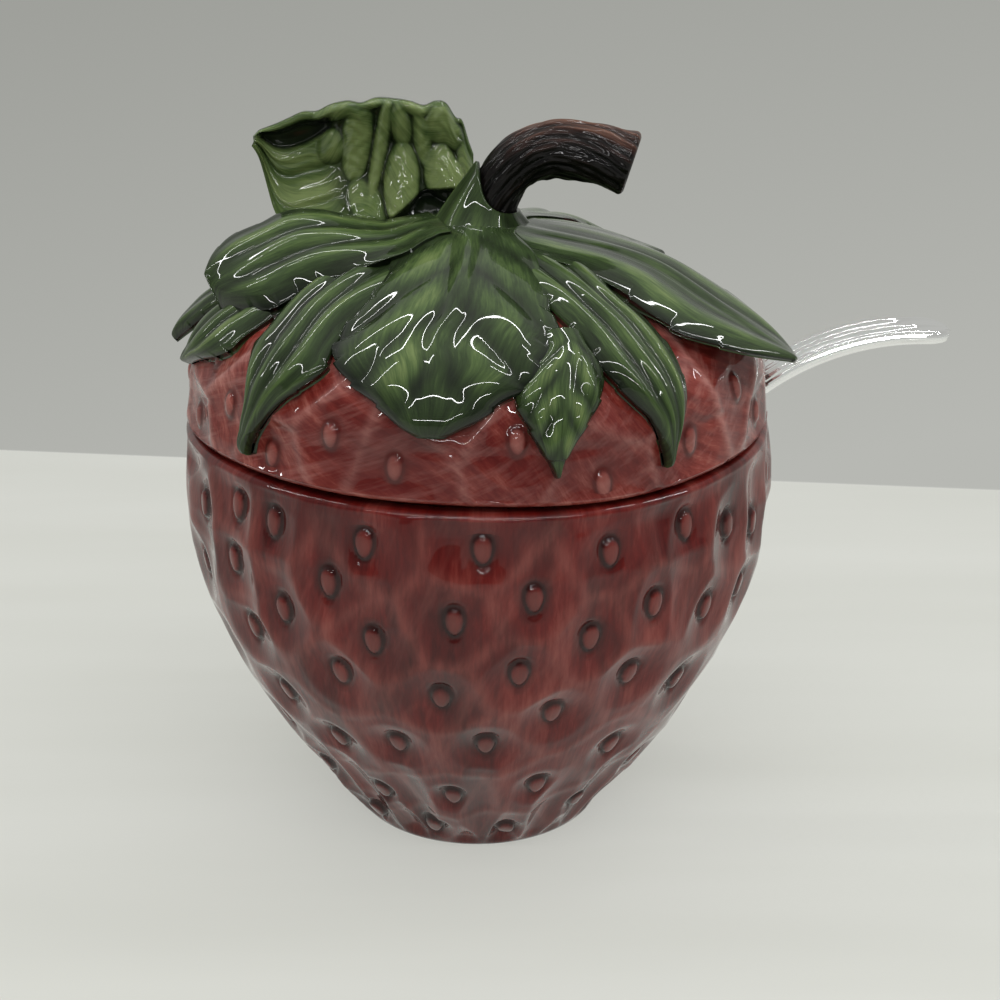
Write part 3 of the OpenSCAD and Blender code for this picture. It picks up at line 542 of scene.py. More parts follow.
def potOutline(s):
    rimTurn = math.asin((s["height"] - s["bellyHeight"]) / s["bellyArc"])
    centre = np.array([s["rimRadius"] - s["bellyArc"] * math.cos(rimTurn), s["bellyHeight"]])
    toe, toBase = s["toeArc"], np.array([s["baseRadius"], 0]) - centre
    gap = toe - s["bellyArc"]
    lean = -math.atan2(toBase[1], toBase[0]) - math.acos(
        (toe ** 2 - gap ** 2 - toBase @ toBase) / (2 * gap * math.hypot(*toBase)))
    way = np.array([math.cos(lean), -math.sin(lean)])
    join = centre + s["bellyArc"] * way
    toeCentre = join - toe * way
    upper = s["bellyArc"] * (rimTurn + lean)
    lowest = math.asin(-toeCentre[1] / toe)
    total = upper + toe * (-lean - lowest)

    def skin(along, inset=0.0):
        along = np.asarray(along, float)
        angle = np.where(along < upper, rimTurn - along / s["bellyArc"], -lean - (along - upper) / toe)
        normal = np.stack([np.cos(angle), np.sin(angle)], -1)
        point = np.where((along < upper)[..., None], centre + (s["bellyArc"] - inset) * normal,
                         toeCentre + (toe - inset) * normal)
        return point, normal
    return skin, total


def makePot(s):
    skin, total = potOutline(s)
    along = np.linspace(s["rimRound"], total, int(total / s["rowStep"]))
    seeds = s["seeds"] + [(turn + 180, down) for turn, down in s["seeds"]]
    place, facing, turn, way, height, ridge, nearest = seededSkin(skin, along, seeds, s)
    calm = smoothStep(0, 4, way) * smoothStep(total, total - 3, way)  # no relief at the rim and the base
    place = place + facing * ((height + ripple(turn, way, s["ripple"])) * calm)[:, None]
    place[:, 2] = np.maximum(place[:, 2] + edgeWave(turn) * smoothStep(s["seamReach"], 1, way), 0)
    # Rim, inside wall, inside floor and the underside, plain turned work
    mouth, r, top = s["rimRadius"] - s["wall"], s["rimRound"], s["height"] - s["rimRound"]
    floor, base = s["floor"], s["baseRadius"]
    (edge, _), _ = skin(r)
    rim = arc(edge - r, top, r, [15, 35, 55, 72, 90]) + arc(mouth + r, top, r, [90, 112, 135, 158, 180])
    inner = [tuple(point) for point in skin(np.linspace(3, total, 60), s["wall"])[0] if point[1] > floor + 2.5]
    low = inner[-1][0]
    inner += [(low - 1.2, floor + 0.9), (low - 3.2, floor), (low * 0.5, floor), (0.4, floor)]
    inside = turned(rim + inner, s["columns"])
    inside[:len(rim), :, 2] += edgeWave(turn[:s["columns"]])
    under = turned([(base - 1.5, 0), (base - 2.2, 0.5), (0.4, 0.5)], s["columns"])
    # Rows run from the inside floor up over the rim, down the outside and in under the base
    rows = np.concatenate([inside[::-1], place.reshape(len(along), -1, 3), under])
    angle, z = np.arctan2(rows[..., 1], rows[..., 0]).ravel(), rows[..., 2].ravel()
    lean = angle - 0.008 * z + 0.1 * np.sin(3 * angle)
    strokes = {
        "brush": ringPlace(s["strokeRadius"], angle, z), "cross": ringPlace(s["strokeRadius"], lean, z + 20)}
    nearest[:, 2] += (1 - calm) * s["farOff"]
    # Painted shade: darker, unevenly round the pot, in the band just below the seam with the lid
    deep = (0.5 + 0.5 * np.sin(3 * turn + 0.4)) * (0.6 + 0.4 * np.sin(11 * turn))
    marks = {"ridge": ridge * calm, "deep": 0.55 * smoothStep(13, 3, way) * deep, "seedPlace": nearest}
    before = len(rim + inner) * s["columns"]
    makeTurned("potBody", rows, before, potGlaze, "pot", ["pot"], strokes, marks, s)


makePot(potSizes)
print("pot made")


# Lid

lidSizes = {
    "foot": 72.3, "rise": 31, "skirt": 8, "skirtLean": 0.7, "rimRadius": 49.2, "shoulder": 13.5, "wall": 3.8,
    "flangeDrop": 5, "flangeRadius": 44, "flangeWall": 3,
    "notchWidth": 13.6, "notchHeight": 7.6, "notchRound": 3, "edgeRound": 1.3, "rowStep": 0.5, "columns": 560,
    "hollowWidth": 7.2, "hollowLength": 6.6, "hollowPower": 1.2, "hollowDepth": 0.8, "ridgeWidth": 1.3,
    "ridgeRise": 0.3, "seedHalfWidth": 1.4, "seedHalfLength": 2.3, "seedRise": 0.8, "grooveDepth": 0.25,
    "ripple": 0.3, "leastShare": 1, "fullRadius": 46, **berryRelief,
    "reliefFrom": (34, 42), "notchClear": (9, 13),  # where the relief grows to its full height, in mm
    # Seeds: turn in degrees and length from the lid's top
    "seeds": [
        (-117, 56.6), (-104.5, 60.4), (-83, 55.7), (-67.5, 62.8), (-48, 59.3), (-130, 61.8), (-143, 56.3),
        (-157, 61.3), (-171, 57.3), (-94, 49.3), (-60, 49.3), (-32, 54.3), (-22, 60.8), (-126, 49.3),
        (-152, 49.3), (25, 59.3), (38, 54.3), (52, 60.8), (66, 55.3), (80, 61.3), (94, 56.3), (108, 61.3),
        (122, 55.8), (136, 61.3), (150, 56.3), (163, 61.3), (175, 55.3), (60, 47.3), (84, 48.3), (110, 47.3),
        (136, 48.3), (160, 48.3),
    ],
}


def lidOutline(s):
    top = s["foot"] + s["rise"]
    shoulderHeight, shoulderX = s["foot"] + s["skirt"], s["rimRadius"] - s["skirtLean"] - s["shoulder"]
    dome = top - shoulderHeight
    radius = (shoulderX ** 2 + dome ** 2 - s["shoulder"] ** 2) / (2 * (dome - s["shoulder"]))
    turn = math.asin(shoulderX / (radius - s["shoulder"]))
    domeLength = radius * turn
    shoulderEnd = domeLength + s["shoulder"] * (math.pi / 2 - turn)
    fall = math.hypot(s["skirt"], s["skirtLean"])
    side = np.array([s["skirt"] / fall, s["skirtLean"] / fall])

    def skin(along, rise=0.0):  # point [radius, height] and normal at a length from the lid's top
        along, rise = np.asarray(along, float), np.asarray(rise)[..., None]
        angle = np.where(along < domeLength, along / radius, turn + (along - domeLength) / s["shoulder"])
        normal = np.stack([np.sin(angle), np.cos(angle)], -1)
        crown = np.array([0, top - radius]) + (radius + rise) * normal
        shoulder = np.array([shoulderX, shoulderHeight]) + (s["shoulder"] + rise) * normal
        part = ((along - shoulderEnd) / fall)[..., None]
        skirt = (np.array([s["rimRadius"] - s["skirtLean"], shoulderHeight])
                 + np.array([s["skirtLean"], -s["skirt"]]) * part + rise * side)
        low = (along > shoulderEnd)[..., None]
        point = np.where(low, skirt, np.where((along < domeLength)[..., None], crown, shoulder))
        return point, np.where(low, side, normal)
    return skin, shoulderEnd + fall


lidSkin, lidLength = lidOutline(lidSizes)


def makeLid(s):
    along = np.linspace(0.3, lidLength - s["edgeRound"], int(lidLength / s["rowStep"]))
    place, facing, turn, way, height, ridge, nearest = seededSkin(lidSkin, along, s["seeds"], s)
    height = height.reshape(len(along), -1)
    for axis in (0, 1):  # glaze fills the sharp creases between the hollows
        height = (np.roll(height, 1, axis) + 2 * height + np.roll(height, -1, axis)) / 4
    # No relief under the leaves, at the seam and round the spoon's notch
    calm = smoothStep(*s["reliefFrom"], way) * smoothStep(lidLength, lidLength - 3, way)
    fromNotch = np.abs(nearTurn(turn)) * s["rimRadius"]
    calm = calm * np.where(way > 48, smoothStep(*s["notchClear"], fromNotch), 1)
    place = place + facing * ((height.ravel() + ripple(turn, way, s["ripple"])) * calm)[:, None]
    place[:, 2] += (edgeWave(turn) + seamGap(turn)) * smoothStep(lidLength - s["seamReach"], lidLength, way)
    # Edge, flange and the hollow inside, plain turned work
    foot, r, rim, flange = s["foot"], s["edgeRound"], s["rimRadius"], s["flangeRadius"]
    tip, inner = foot - s["flangeDrop"], flange - s["flangeWall"]
    edge = arc(rim - r, foot + 0.25 + r, r, [-12, -32, -52, -72, -90])
    ceiling = lidSkin(np.linspace(0.5, lidLength, 70), -s["wall"])[0]
    ceiling = [tuple(point) for point in ceiling if point[0] < inner - 0.5]
    below = turned(
        edge + [(flange + 0.6, foot + 0.25), (flange, foot - 0.3), (flange, tip + 0.7), (flange - 0.7, tip),
                (inner + 0.7, tip), (inner, tip + 0.7)]
        + [(inner, z) for z in np.linspace(foot, ceiling[-1][1] - 1, 6)] + ceiling[::-1], s["columns"])
    below[:len(edge), :, 2] += (edgeWave(turn) + seamGap(turn))[:s["columns"]]
    rows = np.concatenate([place.reshape(len(along), -1, 3), below])
    # Both layers of strokes on the lid run aslant, so their marks turn with the height
    angle, z = np.arctan2(rows[..., 1], rows[..., 0]).ravel(), rows[..., 2].ravel()
    leans = {"brush": 0.02 * (z - 80) + 0.12 * np.sin(5 * angle),
             "cross": -0.035 * (z - 80) * (1 + 0.5 * np.sin(2 * angle))}
    strokes = {mark: ringPlace(s["strokeRadius"], angle + lean, z * 1.6) for mark, lean in leans.items()}
    nearest[:, 2] += (1 - calm) * s["farOff"]
    # Painted shade: darker near the seam with the pot, most at the front and back
    deep = 0.6 * smoothStep(47, 57, way) * smoothStep(lidLength, lidLength - 2, way) * np.clip(
        0.2 - 0.75 * np.cos(2 * turn) + 0.2 * np.sin(9 * turn), 0, 1)
    marks = {"ridge": ridge * calm, "deep": deep, "seedPlace": nearest}
    lid = makeTurned("lidDome", rows, 0, lidGlaze, "lid", (), strokes, marks, s)
    cutNotch(lid, s)
    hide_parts("lid")


def cutNotch(lid, s):
    half, r = s["notchWidth"] / 2, s["notchRound"]
    low, top = s["foot"] - s["flangeDrop"] - 2, s["foot"] + s["notchHeight"] - r
    arch = [(-half, low), (half, low)] + arc(half - r, top, r, range(0, 91, 10)) + arc(
        r - half, top, r, range(90, 181, 10))
    n = len(arch)
    points = [(x, y, z) for x in (30, 60) for y, z in arch]
    faces = [tuple(range(n))[::-1], tuple(range(n, 2 * n))]
    faces += [(k, (k + 1) % n, (k + 1) % n + n, k + n) for k in range(n)]
    cutter = addObject("notchCutter", newMesh("notchCutter", points, faces, lidGlaze))
    cut = lid.modifiers.new("notch", "BOOLEAN")
    cut.operation, cut.object, cut.solver = "DIFFERENCE", cutter, "MANIFOLD"
    graph = bpy.context.evaluated_depsgraph_get()
    done = bpy.data.meshes.new_from_object(lid.evaluated_get(graph))
    lid.modifiers.clear()
    lid.data = done
    bpy.data.objects.remove(cutter)
    done.shade_smooth()
    done.set_sharp_from_angle(angle=math.radians(50))


makeLid(lidSizes)
print("lid made")


# Leaves

def leafLength(loose):  # place on the lid for a flat drawing, leaving it in a straight line past loose
    def skin(length, rise):
        length, rise = np.asarray(length, float), np.asarray(rise, float)
        held = np.minimum(length, loose)
        point, normal = lidSkin(held, rise)
        fall = np.stack([normal[..., 1], -normal[..., 0]], -1)
        return point + (length - held)[..., None] * fall
    return skin


# Each row: way along, right edge, left edge, and for a lifted leaf the share of lift at its right edge.
# Rows before 0 reach in under the neighbours.
broadOutline = [
    (0, -0.3, 0.3), (0.14, -0.46, 0.5), (0.28, -0.56, 0.64), (0.46, -0.76, 0.86),
    (0.59, -0.92, 1), (0.67, -1, 0.94), (0.75, -0.94, 0.86), (0.8, -0.83, 0.82),
    (0.86, -0.67, 0.62), (0.93, -0.46, 0.42), (0.98, -0.28, 0.2), (1, -0.17, 0.09)]
frontLeftOutline = [
    (-0.42, -1.2, 0.6), (-0.2, -1.3, 1), (0, -1.3, 1.2), (0.19, -1.2, 1.2), (0.34, -1.08, 1.15),
    (0.49, -0.9, 1.3), (0.56, -0.88, 1.42), (0.66, -0.66, 1.2), (0.74, -0.42, 0.8),
    (0.8, -0.3, 0.55), (0.88, -0.32, 0.2), (0.95, -0.38, -0.06), (1, -0.24, -0.14)]
frontRightOutline = [
    (-0.3, -0.7, 0.4), (-0.12, -0.85, 0.6), (0, -0.95, 0.7), (0.085, -1, 0.74),
    (0.3, -0.96, 0.8), (0.47, -0.9, 1), (0.6, -0.9, 1.04), (0.7, -0.68, 1.05),
    (0.76, -0.44, 0.98), (0.82, -0.14, 0.82), (0.88, 0.05, 0.6), (0.94, 0.18, 0.42),
    (1, 0.26, 0.32)]
bladeOutline = [
    (0, -0.5, 0.5), (0.16, -0.66, 0.66), (0.3, -0.8, 0.8), (0.52, -1, 1), (0.72, -0.8, 0.8),
    (0.88, -0.4, 0.4), (1, -0.08, 0.08)]
bractOutline = [
    (-0.1, -0.1, 0.9), (0.04, -0.08, 0.92), (0.14, -0.3, 1.02),
    (0.26, -0.76, 1.1), (0.4, -1.01, 1), (0.53, -0.94, 0.8), (0.66, -0.8, 0.52),
    (0.8, -0.6, 0.16), (0.92, -0.38, -0.1), (1, -0.28, -0.2)]
pointOutline = [
    (-0.3, -0.3, 0.3), (0, -0.4, 0.4), (0.26, -0.84, 0.7), (0.42, -1.06, 0.66), (0.6, -1, 0.3),
    (0.8, -0.74, -0.04), (1, -0.46, -0.38)]
spurOutline = [
    (0, -0.7, 0.5, 0), (0.06, -0.92, 0.7, 0.1), (0.13, -0.96, 0.95, 0.1), (0.27, -0.92, 1.3, 0.3),
    (0.42, -1.04, 1.52, 0.5), (0.6, -1.32, 1.5, 0.8), (0.7, -1.36, 1.36, 1), (0.8, -1.12, 1.1, 1),
    (0.91, -0.68, 0.66, 1), (1, -0.12, 0.16, 1)]
leftOutline = [
    (0, -0.3, 0.5, 0.02), (0.08, -0.27, 0.62, 0.03), (0.18, -0.26, 0.8, 0.08), (0.3, -0.26, 0.84, 0.36),
    (0.42, -0.27, 0.84, 0.74), (0.55, -0.28, 0.82, 1), (0.66, -0.29, 0.8, 1), (0.86, -0.3, 0.76, 0.95),
    (0.93, -0.22, 0.5, 0.85), (1, 0, 0.16, 0.7)]
leftSpurOutline = [
    (-0.2, -0.3, 1.0), (0, -0.3, 1.0), (0.25, -0.5, 1.05), (0.5, -0.66, 0.9), (0.75, -0.5, 0.6),
    (1, -0.1, 0.1)]
shortOutline = [(-0.6, -0.9, 1.1), (0, -0.9, 1.1), (0.35, -0.92, 1.04), (0.65, -0.76, 0.56), (1, -0.6, -0.5)]

leafSizes = {
    "start": 7.0, "thick": 2.8, "sink": 0.5, "rows": 130, "columns": 72, "edgeRound": 0.2,
    "veinAngle": 42,      # degrees between a side vein and the midrib
    "puff": 0.85, "ribWidth": 1.3, "ribRise": 0.55, "toothDepth": 0.075,
    "grooveDepth": 0.45, "grooveAside": 2.1, "grooveWidth": 0.8,  # a groove runs on each side of the midrib
    # Near the crown the leaves are one skin, this thick, between these lengths from the lid's top
    "skin": 1.35, "skinFull": 17, "skinEnd": 33, "skinSpread": 1.8,
    # name: turn, root, length, half-width, outline, length at which it leaves the lid's surface (66: nowhere),
    # lift, side veins, teeth, layer, fullness
    "leaves": {
        "front_leaf": (-97, 8.9, 46, 17.4, broadOutline, 66, 0, 3, 12, 0.8, 1),
        "front_left_leaf": (-133, 24, 38, 7.2, frontLeftOutline, 66, 0, 0, 7, 0, 0.9),
        "front_bract": (-75, 41, 20, 7, bractOutline, 66, 0, 3, 6, 0.1, 0.85),
        "front_right_leaf": (-57.5, 20.5, 41.5, 7.2, frontRightOutline, 66, 0, 0, 7, 0.15, 0.95),
        "right_spur_leaf": (-26, 8.9, 49, 10.2, spurOutline, 36.5, 1.4, 0, 6, 0.3, 0.8),
        "right_leaf": (20, 8.9, 26.6, 7.2, bladeOutline, 66, 0, 0, 6, -0.3, 0.4),
        "back_right_leaf": (66, 8.9, 46, 12.4, broadOutline, 66, 0, 4, 12, 0.1, 1),
        "back_right_bract": (85, 43.6, 17, 6, pointOutline, 66, 0, 3, 6, 0, 0.85),
        "back_leaf": (104, 8.9, 46, 12.4, broadOutline, 66, 0, 4, 12, 0.25, 1),
        "back_left_bract": (123, 43.6, 17, 6, pointOutline, 66, 0, 3, 6, 0, 0.85),
        "back_left_leaf": (142, 8.9, 46, 12.4, broadOutline, 66, 0, 4, 12, 0.1, 1),
        "left_spur_leaf": (-177, 37, 18, 6, leftSpurOutline, 47, 0, 0, 5, 0.5, 0.9),
        "left_small_leaf": (-157, 44.6, 9, 8, shortOutline, 66, 0, 0, 5, 0.2, 0.9),
        "left_broad_leaf": (-162, 8.9, 36, 14, leftOutline, 30, 8, 0, 10, 1.3, 0.9),
    },
}


def pieceName(node):
    words = node.split("_")
    return words[0] + "".join(word.capitalize() for word in words[1:])


def makeLeaf(name, turn, root, length, half, outline, loose, lift, veins, teeth, layer, full, s):
    n, m = s["rows"], s["columns"]
    first = min(outline[0][0], (s["start"] - root) / length) if root < 10 else outline[0][0]
    t = np.linspace(first, 1, n + 1)[:, None]
    w = np.sin(np.linspace(-1, 1, m + 1) * math.pi / 2)[None, :]  # closer together near the edges
    joined = smoothStep(s["skinEnd"], s["skinFull"], root + t * length)
    phase = t * teeth + 0.2
    bite = s["toothDepth"] * (0.5 - (phase % 1)) * (0.7 + 0.5 * np.sin(2.3 * np.floor(phase) + turn))
    bite = bite * smoothStep(0.15, 0.35, t) * smoothStep(1.0, 0.88, t) * (1 - joined)
    right = curveThrough(outline, t, 1) - s["skinSpread"] * joined * (0 if lift > 2 else 1) / half
    left = curveThrough(outline, t, 2) + s["skinSpread"] * joined / half
    x = root + t * length + 0 * w
    y = half * (right * (1 - w) + left * (1 + w)) / 2
    offset = y - half * (right + left) / 2  # the midrib lies halfway between the edges
    widest = half * (left - right) / 2
    y = y + np.sign(w) * widest * bite * smoothStep(0.72, 1, np.abs(w))
    reach = 1 - np.abs(w)
    edge = roundOff(reach / s["edgeRound"])
    edge = edge + (1 - edge) * joined * 0.9
    # A tip that stands free thins out sooner
    tip = roundOff((1 - t) / (0.05 + 0.5 * min(max((root + length - loose) / length, 0), 0.45)))
    fade = smoothStep(first + 0.02, first + 0.2, t) * smoothStep(1.0, 0.84, t)
    size = np.clip(widest / 9, 0.4, 1)
    offShare = offset / np.maximum(widest, 0.1)
    side = np.clip(np.abs(offShare) / 0.2, 0, 1)
    if veins:
        spacing = length / (veins + 0.8)
        vein = (x - root - np.abs(offset) / math.tan(math.radians(s["veinAngle"]))) / spacing
        vein = vein + 0.08 * np.sin(3 * t + turn + np.sign(offset))
        panel = np.abs(np.sin(math.pi * vein)) ** 1.3
        uneven = 0.85 + 0.3 * np.sin(2.1 * np.floor(vein) + 1.7 * np.sign(offset) + turn)
        swell = s["puff"] * size * (uneven * panel - 0.5) * side
        swell = swell * np.sin(math.pi * np.clip(reach * 1.2 + 0.14, 0, 1)) ** 0.5
    else:  # a narrow leaf has folds that run from root to tip
        panel = 0.5 + 0.5 * np.cos(offShare * 3.6 * math.pi + 0.9 * np.sin(4 * t + turn))
        swell = 0.5 * s["puff"] * size * (panel - 0.5) * side
    rib = bell(offset, s["ribWidth"]) * smoothStep(0.95, 0.55, t)
    beside = np.abs(offset) - s["grooveAside"]
    groove = bell(beside, s["grooveWidth"]) * fade * size * smoothStep(0.95, 0.6, t)
    ridge = s["ribRise"] * rib * size - s["grooveDepth"] * groove
    body = full * s["thick"] * (0.42 + 0.5 * np.sin(math.pi / 2 * np.clip(reach / 0.6, 0, 1)))
    body = body * (1 - joined) + s["skin"] * joined
    over = body + (swell * fade + ridge) * (1 - 0.6 * joined) * min(1, full)
    over = over * (0.35 + 0.65 * edge) * (0.4 + 0.6 * tip) + 0.3 + layer * (0.6 + 0.4 * joined)
    reachOut = np.hypot(x, y)
    free, rise = smoothStep(loose - 2, loose + 4, reachOut), 0
    if lift:
        rise = lift * curveThrough(outline, t, 3) * (1 - w) / 2
        free = np.maximum(free, smoothStep(0.6, 1.5, rise))
    under = -s["sink"] * (1 - free) + 0.3 * free
    angle = np.arctan2(y, x) + math.radians(turn)
    skin = leafLength(loose)

    def laid(height):
        point = skin(reachOut, height + rise)
        return ringPlace(point[..., 0], angle, point[..., 1])
    place, faces = sheet(laid(over), laid(under))
    # Strokes run from the root to the tip and close in with the edges
    across = offset / np.maximum(widest, 3) * 9
    brush = np.stack([across + 37 * math.sin(turn), x, 0 * x + turn * 0.7], -1).reshape(-1, 3)
    # Painted light: the puffs between the veins and the midrib are painted paler
    crest = np.clip(0.1 + 0.8 * panel * side * np.clip(reach * 2.2, 0, 1) * fade + 0.3 * rib, 0, 1)
    # Painted shade: dark edge, midrib grooves and side veins, where glaze also pools, and on a broad leaf a
    # darker margin and tip
    deep = (0.85 * smoothStep(0.13, 0.0, reach) * (0.35 + 0.65 * smoothStep(0.3, 0.7, t)) * (1 - joined)
            + 0.4 * bell(beside, 0.7) * fade * size + 0.35 * (1 - panel) ** 3 * side * fade)
    if veins:
        deep = deep + 0.4 * smoothStep(0.5, 0.05, reach) * smoothStep(0.35, 0.75, t)
        deep = deep + 0.3 * smoothStep(0.72, 0.95, t)
    # Painted shade: the underside is painted darker than the top
    below = np.full(crest.size, 0.3)
    makePiece(pieceName(name), place, faces, leafGlaze, "lid", [name], {
        "brush": np.concatenate([brush, brush]), "crest": np.concatenate([crest.ravel(), below]),
        "deep": np.concatenate([np.clip(deep, 0, 1).ravel(), below])})


for leafName, values in leafSizes["leaves"].items():
    makeLeaf(leafName, *values, leafSizes)
print("leaves made")


# Raised leaf: it stands behind the left broad leaf and curls over at its top left

raisedSizes = {
    "start": -0.6, "length": 37, "height": 21, "thick": 3, "back": 6.2, "curl": 3.4, "foot": 103.3,
    "footDrop": 2.6, "footRun": 3.0, "recessDrop": 2.4, "recessDepth": 3.2, "pocketDepth": 2.3, "rimRise": 0.7,
    "edgeRound": 1.5, "lumpPower": 8, "wrinkleRise": 0.13, "foldRise": 0.55, "fineFoldRise": 0.18,
    "rows": 170, "columns": 110,
    "outline": [  # way along, foot share, top share
        (0, 0.3, 0.52), (0.02, 0.28, 0.62), (0.05, 0.26, 0.8), (0.08, 0.25, 0.83), (0.12, 0.24, 0.95),
        (0.17, 0.23, 0.975), (0.22, 0.22, 0.94), (0.28, 0.2, 0.975), (0.36, 0.19, 1.0), (0.44, 0.17, 1.005),
        (0.5, 0.15, 0.97), (0.56, 0.135, 0.985), (0.64, 0.12, 0.955), (0.7, 0.11, 0.9), (0.76, 0.1, 0.895),
        (0.84, 0.12, 0.83), (0.888, 0.2, 0.79), (0.944, 0.42, 0.75), (0.97, 0.54, 0.73), (1, 0.62, 0.68),
    ],
    # Lumps of the crumpled part: mm along, mm up, half-widths in mm, lean, height in mm
    "lumps": [
        (4.6, 7.2, 3.9, 4.6, 0.15, 1.6), (5.2, 14.6, 3.6, 3.4, 0, 1.3), (12.2, 6.4, 3.2, 5.6, -0.08, 2.0),
        (12.2, 14.4, 2.2, 3.4, 0.1, 1.2), (8.6, 12.8, 1.8, 5.0, 0.12, 1.0), (15.7, 10.4, 1.4, 8.8, -0.22, 1.7),
        (19.4, 11.8, 2.9, 6.2, -0.12, 1.4), (23.8, 11.4, 2.5, 2.8, 0.1, 1.2), (22.6, 17.0, 3.8, 1.9, 0, 0.9),
        (8.2, 1.2, 4.4, 2.2, 0, 0.7), (1.2, 11.0, 1.9, 4.0, 0, 0.9), (18.0, 3.0, 3.2, 3.6, 0.3, 0.8),
        (9.6, 17.4, 3.0, 1.6, 0, 0.9), (16.8, 18.0, 3.0, 1.6, 0, 0.9),
    ],
}


def makeRaisedLeaf(s):
    n, m = s["rows"], s["columns"]
    t = np.linspace(0, 1, n + 1)[:, None]
    v = np.linspace(0, 1, m + 1)[None, :]
    drop = s["recessDrop"] * smoothStep(0.45, 0.36, t)
    foot = s["height"] * curveThrough(s["outline"], t, 1) - s["footDrop"] * smoothStep(1, 0.9, t) - drop
    top = s["height"] * curveThrough(s["outline"], t, 2)
    level = np.clip(((foot + (top - foot) * v) / s["height"] - 0.08) / 0.89, 0, 1)
    bow = s["curl"] * np.sin(math.pi * level) - s["curl"] * t * level ** 3
    # The foot runs out on to the leaf below
    bow = bow - s["footRun"] * smoothStep(0.3, 0.42, t) * np.clip(1 - v / 0.22, 0, 1) ** 2
    along, up = t * s["length"] + 0 * v, v * s["height"] * 0.86 + 0 * t
    lumps = 0 * along
    for a, b, wide, tall, lean, high in s["lumps"]:
        out = ((along - a - lean * (up - b)) / wide) ** 2 + ((up - b) / tall) ** 2
        lumps = lumps + (1.5 * high * np.clip(1.12 - out, 0, 1.12) ** 0.75) ** s["lumpPower"]
    puff = soft = lumps ** (1 / s["lumpPower"])  # near the highest lump at each place, with a crease between two
    for axis in (0, 1):  # the puff smoothed over about 2.5 mm: below it lies a valley, above it a crest
        soft = sum(np.roll(soft, k, axis) for k in range(-6, 7)) / 13
    wrinkle = np.sin(2.5 * along + 1.4 * np.sin(1.1 * up)) * np.sin(2.2 * up + 1.6 * np.sin(0.9 * along))
    crumple = smoothStep(0.72, 0.56, t + 0.1 * (0.5 - v))
    inside = crumple * smoothStep(0.02, 0.1, v) * smoothStep(0.99, 0.94, v) * smoothStep(0.03, 0.06, t)
    # Painted shade in the valleys between the lumps, where glaze also pools, and a painted highlight on the
    # lumps' tops
    crease = np.clip(1 - puff / 0.75 + (soft - puff) / 0.4, 0, 1) * inside
    paintedHighlight = np.clip((puff - soft) / 0.4, 0, 1) * inside
    lower = smoothStep(0.66, 0.56, v)
    folds = s["foldRise"] * np.sin(17 * v + 5.5 * t + 0.8 * np.sin(6 * t)) * (1 - crumple) * lower
    folds = folds + s["fineFoldRise"] * np.sin(44 * v + 14 * t) * (1 - crumple) * lower
    # Pocket under the rim at the top left, with a sharp lower lip, painted dark as painted shade
    lip = 0.76 - 0.1 * smoothStep(0.66, 0.78, t)
    pocket = (smoothStep(0.6, 0.68, t) * smoothStep(0.985, 0.955, t) * smoothStep(lip, lip + 0.05, v)
              * smoothStep(0.95, 0.88, v))
    # Recess below the foot beside the crown, painted dark as painted shade
    sill = (s["footDrop"] + drop) / np.maximum(top - foot, 1) * smoothStep(0.46, 0.2, t)
    recess = smoothStep(0.42, 0.34, t) * smoothStep(sill + 0.05, sill - 0.02, v)
    rim = s["rimRise"] * (smoothStep(0.84, 0.9, v) * smoothStep(0.45, 0.6, t) + smoothStep(0.95, 0.98, t))
    edge = np.minimum(np.minimum(t, 1 - t) * s["length"], np.minimum(v, 1 - v) * (top - foot))
    rounding = roundOff(edge / s["edgeRound"])
    x = -s["start"] + t * s["length"] + 0 * v
    z = s["foot"] + foot + (top - foot) * v
    relief = (puff - 0.6 + folds + rim + s["wrinkleRise"] * wrinkle * inside
              - s["pocketDepth"] * pocket - s["recessDepth"] * recess)

    def face(side, share):  # side 1 faces the viewer
        return (s["back"] + bow - side * s["thick"] / 2 * (0.25 + 0.75 * rounding)
                - side * share * relief * rounding)
    front = face(1, 0.9)
    # Behind the pocket and the recess the leaf keeps its thickness
    back = np.maximum(face(-1, 0.27), front + 0.3 + 0.9 * rounding)
    place, faces = sheet(np.stack([-x, front, z], -1), np.stack([-x, back, z], -1))
    brush = np.stack([v * 22 - 0.12 * x, x, 0 * z + 5], -1).reshape(-1, 3)
    brush[:, 0] += (crumple * (np.sin(9 * t) * 6 + 0 * v)).ravel()
    # Painted light: paler on the lumps, most on their tops, and on the crests of the folds
    crest = 0.7 + 0.25 * puff * crumple + 0.6 * paintedHighlight + 0.5 * (1 - crumple) * (0.6 + folds)
    crest = np.clip(crest, 0, 1.5).ravel()
    # Painted shade: darker in the valleys, the pocket and the recess
    deep = np.clip(0.85 * crease + 0.97 * smoothStep(0.25, 0.8, pocket) + 0.98 * recess, 0, 1).ravel()
    # The back is painted darker than the front as painted shade
    makePiece("raisedLeaf", place, flipped(faces), leafGlaze, "lid", ["raised_leaf"], {
        "brush": np.concatenate([brush, brush]), "crest": np.concatenate([crest, crest * 0.5]),
        "deep": np.concatenate([deep, deep * 0 + 0.35])})


makeRaisedLeaf(raisedSizes)
print("raised leaf made")


# Crown and stem

crownSizes = {
    "radius": 10.6, "neck": 4.75, "rise": 3.4, "top": 103.3, "domeRadius": 82.7, "rows": 44, "columns": 144,
    "out": 2.4, "turn": -8, "sheathTurn": 190, "sheathSpread": 58, "sheathHeight": 8.3, "sheathShift": 2.2,
    "ribTurn": 263, "ribRise": 0.5, "foldCount": 11, "foldRise": 0.16, "lipWall": 0.45,
}


